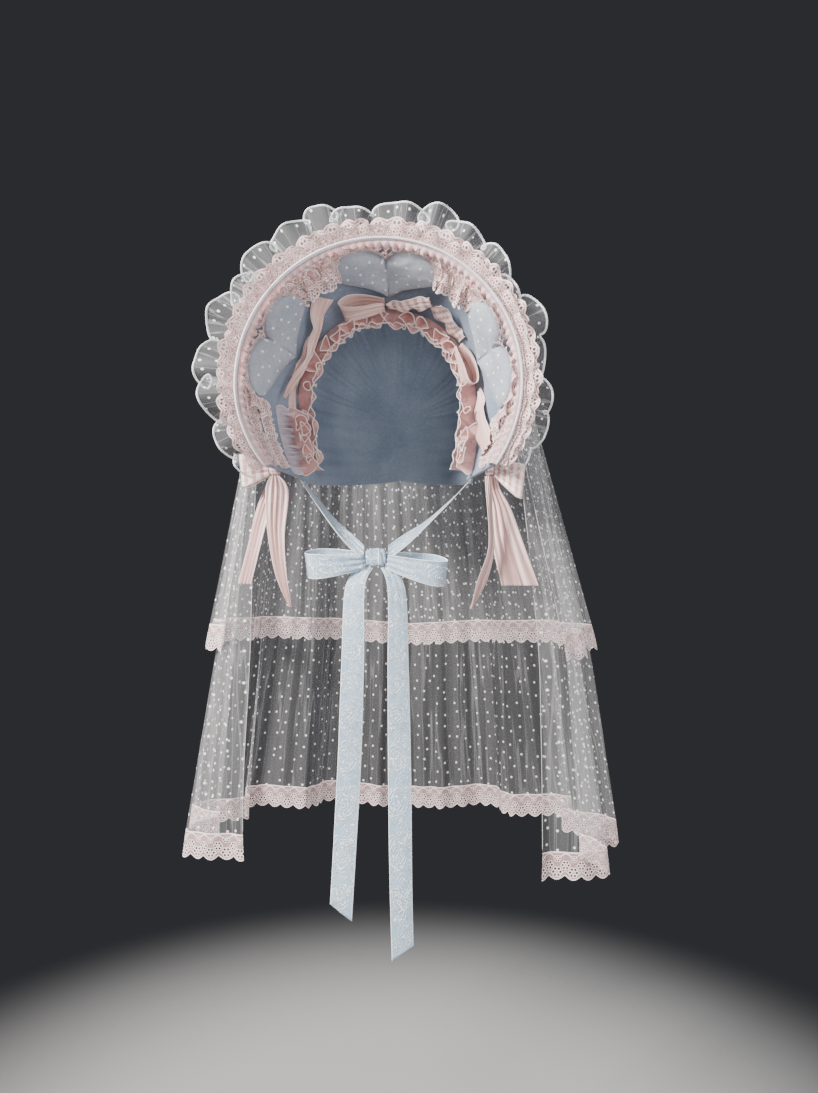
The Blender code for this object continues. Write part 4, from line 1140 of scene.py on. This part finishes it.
def build_garland(name, table):
    """A ribbon laid along the brim's inner face."""
    rows = eased(table, 60)
    seat = FACE_SEAT + RIBBON_WALL / 2
    centres = [on_brim(angle, slope, seat + PINK_RIBBON_WIDTH * rise) for angle, slope, rise, _ in rows]
    acrosses = []
    for index, (angle, slope, _, width) in enumerate(rows):
        along = centres[min(index + 1, len(rows) - 1)] - centres[max(index - 1, 0)]
        across = inward(angle, slope).cross(along).normalized()
        acrosses.append(across * PINK_RIBBON_WIDTH * max(width, LEAST_WIDTH) / 2)
    finish = "checked satin" if name in BARRED_RIBBONS else "striped satin"
    strip(name, centres, acrosses, finish, PINK_RIBBON_WIDTH, GARLAND_CUP,
          (RIBBON_PINCH, RIBBON_PINCH), flutter=GARLAND_FLUTTER, pleat=GARLAND_PLEAT)


def loop_path(start=LOOP_START):
    """A loop's way out from its knot and back: shares of its reach and of its bulge."""
    nearest = sin(pi * start)
    return [((sin(pi * share) - nearest) / (1 - nearest), sin(2 * pi * share))
            for share in steps(72, start, 1 - start)]


def build_loop(name, root, reach, bulge, across, widths, finish, flat, start=LOOP_START):
    """A bow's loop, pleated where it enters its knot."""
    centres, acrosses = [], []
    for out, swell in loop_path(start):
        centres.append(root + reach * out + bulge * swell)
        acrosses.append(across * (widths[0] + (widths[1] - widths[0]) * min(1.0, out * 1.25) ** 0.8) / 2)
    strip(name, centres, acrosses, finish, flat, pinch=(LOOP_PINCH, LOOP_PINCH))


def build_garland_loop(name, angle, slope, turn, climb, rise, width):
    """A loop that lies on the brim."""
    seat = FACE_SEAT + RIBBON_WALL / 2 + BOW_LOOP_BULGE + PINK_RIBBON_WIDTH * rise
    centres, acrosses = [], []
    for out, swell in loop_path():
        at = angle + turn * out
        centres.append(on_brim(at, slope + climb * out, seat + BOW_LOOP_BULGE * swell))
        acrosses.append(up_slope(at) * PINK_RIBBON_WIDTH * (LOOP_ROOT + (width - LOOP_ROOT) * out) / 2)
    strip(name, centres, acrosses, "striped satin", PINK_RIBBON_WIDTH,
          pinch=(GARLAND_LOOP_PINCH, GARLAND_LOOP_PINCH), flutter=GARLAND_LOOP_PINCH)


def build_knot(name, place, size, finish):
    """A pulled knot: a rounded bundle with the creases of the ribbon that wraps it."""
    work = bmesh.new()
    cloth = work.loops.layers.uv.new("cloth")
    bmesh.ops.create_uvsphere(work, u_segments=64, v_segments=40, radius=1.0)
    for face in work.faces:
        for loop in face.loops:
            spot = loop.vert.co
            loop[cloth].uv = ((spot.z + 1) * size.z, (spot.x + 1) * size.x)
    for vert in work.verts:
        spot = vert.co
        ridge = cos(12 * spot.x + 2.2 * spot.z + 2 * weave_noise(spot.x, spot.z, 4.0))
        crease = 1 - KNOT_CREASE * (1 + ridge) * (spot.y < 0.4)
        squared = [abs(level) ** KNOT_SQUARENESS * (1 if level > 0 else -1) * crease for level in spot]
        vert.co = place + Vector([level * length / 2 for level, length in zip(squared, size)])
    dress(name + "_wrap", to_mesh(work, name + "_wrap"), finish, name)


def build_hanging(name, start, side, drop, table, width, finish, cut=0.0, cup=0.0, pleat=0.0):
    """A ribbon end that hangs from start."""
    centres, acrosses = [], []
    for down, sideways, forward, facing, share in eased(table, 90):
        centres.append(start + Vector((side * sideways * drop, -forward * drop, -down * drop)))
        turn = radians(facing) * side
        acrosses.append(Vector((cos(turn), sin(turn), 0.0)) * width * max(share, LEAST_WIDTH) / 2)
    strip(name, centres, acrosses, finish, width, cup=cup, pinch=(RIBBON_PINCH, 0.0), cut=cut,
          pleat=pleat)


def build_side_bow(side, name):
    """A bow outside one end of the brim, with its loop turned outwards."""
    angle = 180.0 + BOW_ANGLE if side < 0 else -BOW_ANGLE
    knot = on_brim(angle, BOW_SLOPE[name], -(BRIM_WALL / 2 + BUTT_GAP + BOW_KNOT_STAND))
    build_knot("side_bow_" + name + "_knot", knot, BOW_KNOT_SIZE, "checked satin")
    root = knot + Vector((side * (BOW_KNOT_SIZE.x / 2 + BUTT_GAP), 0.0, 0.0))
    reach = Vector((side * BOW_LOOP_REACH, -BOW_LOOP_FORWARD[name], -BOW_DROOP[name]))
    build_loop("side_bow_" + name + "_loop", root, reach, Vector((0.0, BOW_LOOP_BULGE, 0.0)),
               Vector((side * 0.10, 0.0, 0.99)), (BOW_KNOT_SIZE.z * 0.9, BOW_LOOP_WIDTH), "bow check",
               BOW_LOOP_WIDTH, BOW_LOOP_START)
    start = knot - Vector((0.0, 0.0, BOW_KNOT_SIZE.z / 2 + BUTT_GAP))
    for tail, (tail_side, drop, table) in BOW_TAILS.items():
        if tail_side == side:
            build_hanging(tail, start, side, drop, table, PINK_RIBBON_WIDTH, "striped ribbon", pleat=TAIL_PLEAT)


def build_strap_and_loop(side, name):
    """One side's chin strap from the brim's end to the knot, and the loop on that side."""
    angle = 180.0 + BRIM_END_ANGLE if side < 0 else -BRIM_END_ANGLE
    top = on_brim(angle, TIE_STRAP_SLOPE) - Vector((0.0, 0.0, BUTT_GAP + BRIM_WALL * 0.5))
    clear = TIE_KNOT_SIZE.x / 2 + BUTT_GAP
    way = TIE_KNOT_PLACE + Vector((side * (clear + RIBBON_WALL / 2), 0.0, TIE_STRAP_END_RISE)) - top
    centres, acrosses = [], []
    for down, inwards, forward, width, turn in eased(STRAP, 60):
        centres.append(top + Vector((way.x * inwards, way.y * forward, way.z * down)))
        acrosses.append(Vector((0.0, cos(radians(turn)), sin(radians(turn)))) * TIE_WIDTH * width / 2)
    strip("tie_strap_" + name, centres, acrosses, "figured satin", TIE_WIDTH, pinch=(0.0, STRAP_PINCH))
    root = TIE_KNOT_PLACE + Vector((side * clear, 0.0, -TIE_LOOP_ROOT_DROP))
    reach = Vector((side * TIE_LOOP_REACH, -TIE_LOOP_FORWARD, -TIE_LOOP_DROOP[name]))
    build_loop("tie_loop_" + name, root, reach, Vector((0.0, TIE_LOOP_BULGE, TIE_LOOP_LEAN)),
               Vector((side * 0.12, 0.0, 0.99)), (TIE_KNOT_SIZE.z * 0.7, TIE_WIDTH), "figured satin",
               TIE_WIDTH)


def build_tie_tail(side, name):
    """One of the two long ends of the chin ties."""
    start = TIE_KNOT_PLACE + Vector((side * TIE_TAIL_SPACING, -TIE_TAIL_FORWARD,
                                     -TIE_KNOT_SIZE.z / 2 - BUTT_GAP))
    drop, rows = TIE_TAILS[name]
    table = [(down, side * sideways, forward, side * facing, width)
             for down, sideways, forward, facing, width in rows]
    build_hanging("tie_tail_" + name, start, side, drop, table, TIE_WIDTH, "figured satin",
                  -side * TIE_END_CUT, TIE_CUP)


def veil_spread(layer, fall, column):
    """A tier's share of its width or sway, eased between the rows of its table."""
    places = steps(4, fall - VEIL_EASE, fall + VEIL_EASE)
    return sum(between(VEIL_SPREAD[layer], place, column) for place in places) / len(places)


def veil_point(side, share, fall, climb_share, tier):
    """A point of a veil: share from its front edge to its back, fall below the head, or climb over it."""
    hem, half_width, depth, curl, sway, layer = tier
    offset = layer * (VEIL_WALL + VEIL_TIER_GAP)
    spread = veil_spread(layer, fall, 1)
    front_angle = VEIL_FRONT_ANGLE + curl * fall
    turn = radians(-front_angle + (90.0 + front_angle) * share)
    down = fall * (hem * (1 + side * VEIL_HEM_TILT * (1 - share)) + VEIL_BACK_DIP * share ** 2)
    width = VEIL_CAP_HALF_WIDTH + (half_width - VEIL_CAP_HALF_WIDTH) * spread + offset * (1 - fall)
    deep = VEIL_CAP_DEPTH + (depth - VEIL_CAP_DEPTH) * spread + offset * share * (1 - fall)
    front = on_brim(90.0, VEIL_SLOPE, -(BRIM_WALL / 2 + VEIL_SEAT_GAP + VEIL_WALL / 2 + offset))
    axis_y = front.y + VEIL_CAP_DEPTH * sin(radians(VEIL_FRONT_ANGLE)) + VEIL_BACK_SHIFT * fall
    place = (turn + radians(VEIL_FRONT_ANGLE)) / radians(90.0 + VEIL_FRONT_ANGLE)
    swing = cos(2 * pi * (VEIL_FOLDS * place - VEIL_FOLD_START)) * (1 - share ** 6)
    low = down / LOWER_TIER_HEM
    fine = cos(2 * pi * VEIL_FINE_FOLDS * place + 2 * weave_noise(place * 5, fall, side))
    folds = VEIL_FOLD_HEIGHT * low * swing + VEIL_FINE_FOLD * low ** 0.5 * fine
    x = (width + folds) * cos(turn)
    y = axis_y + (deep + folds) * sin(turn)
    if fall > 0:
        return Vector((side * x + sway * veil_spread(layer, fall, 2), y, CENTRE_Z - down))
    ahead = sin(radians(VEIL_FRONT_ANGLE))
    rise = (front.z - CENTRE_Z) / cos(pi / 16) * between(VEIL_CAP, (sin(turn) + ahead) / (1 + ahead))
    angle = climb_share * pi / 2
    return Vector((side * x * cos(angle), y, CENTRE_Z + rise * sin(angle)))


def veil_fall(side, share, fall, tier):
    """A point of a veil's hanging part, whose two sides meet on a line down the back."""
    point = veil_point(side, share, fall, 0.0, tier)
    if share == 1.0:
        point.x = tier[4] * veil_spread(tier[5], fall, 2)
    return point


def build_veil_tier(name, drop, cloth_width, tier):
    """A tier of the veil, with its lace border and its narrow rolled front edges."""
    border = 1 - VEIL_LACE_WIDTH / tier[0]
    head = VEIL_HEAD_ROWS
    count = 2 * (head + drop)

    def place(u, v):
        index = round(u * count)
        side = 1 if index <= count // 2 else -1
        beyond = min(index, count - index)
        if beyond <= drop:
            return veil_fall(side, v, border * (drop - beyond) / drop, tier)
        return veil_point(side, v, 0.0, (beyond - drop) / head, tier)

    def hem_place(u, v):
        side, share = (1, 2 * u) if u <= 0.5 else (-1, 2 * (1 - u))
        return veil_fall(side, share, border + (1 - border) * v, tier)

    cloth = "veil_{}_cloth".format(name)
    piece = sheet(cloth, count, 150, place, "veil tulle", "veil_" + name)
    rows = [(fall, 0.0) for fall in steps(drop, border, 0.0)] + [(0.0, climb) for climb in steps(head)[1:]]
    rolls = [lay_cord("veil_{}_front_roll_{}".format(name, ending),
                      [veil_point(side, 0.0, fall, climb, tier) for fall, climb in rows], VEIL_ROLL_RADIUS, 6,
                      "soft edge") for side, ending in ((1, "left"), (-1, "right"))]
    hem = sheet("veil_{}_lace_cloth".format(name), 640, 10, hem_place, "veil lace",
                "veil_{}_lace".format(name), width=VEIL_LACE_WIDTH)
    hang(piece, cloth_width)
    hang(hem, VEIL_LACE_WIDTH)


def add_camera():
    """The camera in front of the face opening, a little to the wearer's left."""
    lens = bpy.data.cameras.new("camera")
    lens.lens = CAMERA_LENS
    lens.sensor_width = 36.0
    lens.clip_start = 0.01
    camera = bpy.data.objects.new("camera", lens)
    camera.location = CAMERA_PLACE
    camera.rotation_euler = (radians(90.0), 0.0, radians(CAMERA_TURN))
    bpy.context.scene.collection.objects.link(camera)
    bpy.context.scene.camera = camera


def add_light(name, place, target, size, power, tone):
    """A soft square light aimed at a point."""
    lamp = bpy.data.lights.new(name, "AREA")
    lamp.size = size
    lamp.energy = power
    lamp.color = tone
    light = bpy.data.objects.new(name, lamp)
    light.location = place
    light.rotation_euler = (Vector(target) - Vector(place)).to_track_quat("-Z", "Y").to_euler()
    bpy.context.scene.collection.objects.link(light)


def add_room():
    """A pale round floor with a painted pool of light that fades into a cool grey surround, and soft studio
    light.
    """
    world = bpy.data.worlds.new("surround")
    world.use_nodes = True
    world.node_tree.nodes["Background"].inputs[0].default_value = (*SURROUND, 1.0)
    world.node_tree.nodes["Background"].inputs[1].default_value = 1.0
    bpy.context.scene.world = world
    work = bmesh.new()
    bmesh.ops.create_circle(work, cap_ends=True, segments=96, radius=FLOOR_RADIUS)
    for vert in work.verts:
        vert.co.z = FLOOR_Z
    mesh = to_mesh(work, "floor")
    floor = bpy.data.objects.new("floor", mesh)
    bpy.context.scene.collection.objects.link(floor)
    finish = Finish("pale_floor_painted_light_pool", 0.7)
    # Painted pool of light: the floor fades out from its middle into the dark surround.
    reach = finish.span(*finish.split(finish.object_place()))
    patch = finish.step(reach, FLOOR_RADIUS, FLOOR_RADIUS * 0.35)
    mesh.materials.append(finish.shade(FLOOR_TONE, alpha=patch))
    for name, light in LIGHTS.items():
        add_light(name, *light)


def make_finishes():
    """Every cloth of the bonnet, with its slot."""
    wine, rose = (0.60, 0.30, 0.28), (1.0, 0.80, 0.77)
    return {
        "cotton": ("blue_cloth", cotton("blue_cotton", (0.18, 0.22, 0.29), (0.31, 0.36, 0.44))),
        "heart cotton": ("blue_cloth", cotton("heart_cotton", (0.30, 0.33, 0.38), (0.50, 0.53, 0.58),
                                              dots=True)),
        "cord": ("white_cord", white_cord("white_piping", (0.88, 0.86, 0.86), 0.0022)),
        "edge cord": ("white_cord", white_cord("rolled_edge", (0.95, 0.95, 0.95), 0.0030)),
        "pale thread": ("pink_organza", white_cord("pale_pink_edge", (0.90, 0.76, 0.72), 0.0020)),
        "soft edge": ("white_tulle", white_cord("veil_edge", (0.62, 0.58, 0.58), 0.0030)),
        "ruffle tulle": ("white_tulle", tulle("ruffle_tulle", (0.80, 0.80, 0.82), 0.12, (1.0, 0.10, 1.0),
                                              0.18)),
        "veil tulle": ("white_tulle", tulle("veil_tulle", (0.84, 0.82, 0.82), 0.085, (0.04, 0.9, 1.0), 0.10)),
        "ruffle lace": ("pink_lace", lace("ruffle_lace", wine, (1.0, 0.79, 0.76), LACE_RUFFLE_LENGTH, 0.020,
                                          0.56, ((0.0, 0.56, 0.9), (0.5, 0.30, 0.5)))),
        "heart lace": ("pink_lace", lace("heart_lace", wine, rose, HEART_FRILL_WIDTH, 0.013, 0.80)),
        "corner lace": ("pink_lace", lace("corner_lace", wine, rose, CORNER_LACE_LENGTH, 0.015, 0.85,
                                          ((0.0, 0.76, 1.0), (0.5, 0.52, 0.9), (0.0, 0.28, 0.8)))),
        "veil lace": ("pink_lace", lace("veil_lace", (0.64, 0.40, 0.38), (1.0, 0.83, 0.81), VEIL_LACE_WIDTH,
                                        0.016, 0.50, ((0.0, 0.70, 0.85), (0.5, 0.46, 0.75),
                                                      (0.0, 0.24, 0.55)))),
        "checked satin": ("pink_satin", checked_ribbon("checked_ribbon", PINK_RIBBON_WIDTH,
                                                       (0.55, 0.27, 0.24), (0.98, 0.78, 0.73))),
        "bow check": ("pink_satin", checked_ribbon("bow_ribbon", BOW_LOOP_WIDTH, (0.60, 0.26, 0.23),
                                                   (1.0, 0.86, 0.82))),
        "striped ribbon": ("pink_satin", striped_ribbon("striped_ribbon", (0.52, 0.27, 0.25),
                                                        (0.90, 0.66, 0.62), 0.66)),
        "striped satin": ("pink_satin", striped_ribbon("striped_satin", (0.54, 0.27, 0.24),
                                                       (0.95, 0.72, 0.66), 1.0)),
        "organza": ("pink_organza", organza("face_organza", (0.46, 0.19, 0.18), (0.88, 0.54, 0.50), 0.84)),
        "pale net": ("pink_organza", organza("pale_net", (0.50, 0.42, 0.50), (0.90, 0.80, 0.84), 0.62)),
        "trim organza": ("pink_organza", organza("trim_organza", (0.60, 0.32, 0.32), (1.0, 0.76, 0.75),
                                                 0.90)),
        "figured satin": ("blue_satin", figured_satin("figured_satin", TIE_WIDTH)),
    }


def build_bonnet():
    """Every piece of the bonnet."""
    sides = ((-1, "left"), (1, "right"))
    build_crown()
    build_brim()
    build_rim_ruffles()
    build_inner_trim()
    build_face_ruffle()
    for name, angle in HEART_ANGLES.items():
        build_heart(name, angle)
        build_heart_lace(name, angle)
    for name, frill in BRIM_FRILLS.items():
        build_brim_frill(name, *frill)
    for name, table in GARLAND.items():
        build_garland(name, table)
    for name, loop in GARLAND_LOOPS.items():
        build_garland_loop(name, *loop)
    for side, name in sides:
        build_side_bow(side, name)
    build_knot("tie_knot", TIE_KNOT_PLACE, TIE_KNOT_SIZE, "figured satin")
    for side, name in sides:
        build_strap_and_loop(side, name)
    for side, name in sides:
        build_tie_tail(side, name)
    for name, tier in VEIL_TIERS.items():
        build_veil_tier(name, *tier)


add_camera()
FINISHES.update(make_finishes())
build_bonnet()
add_room()
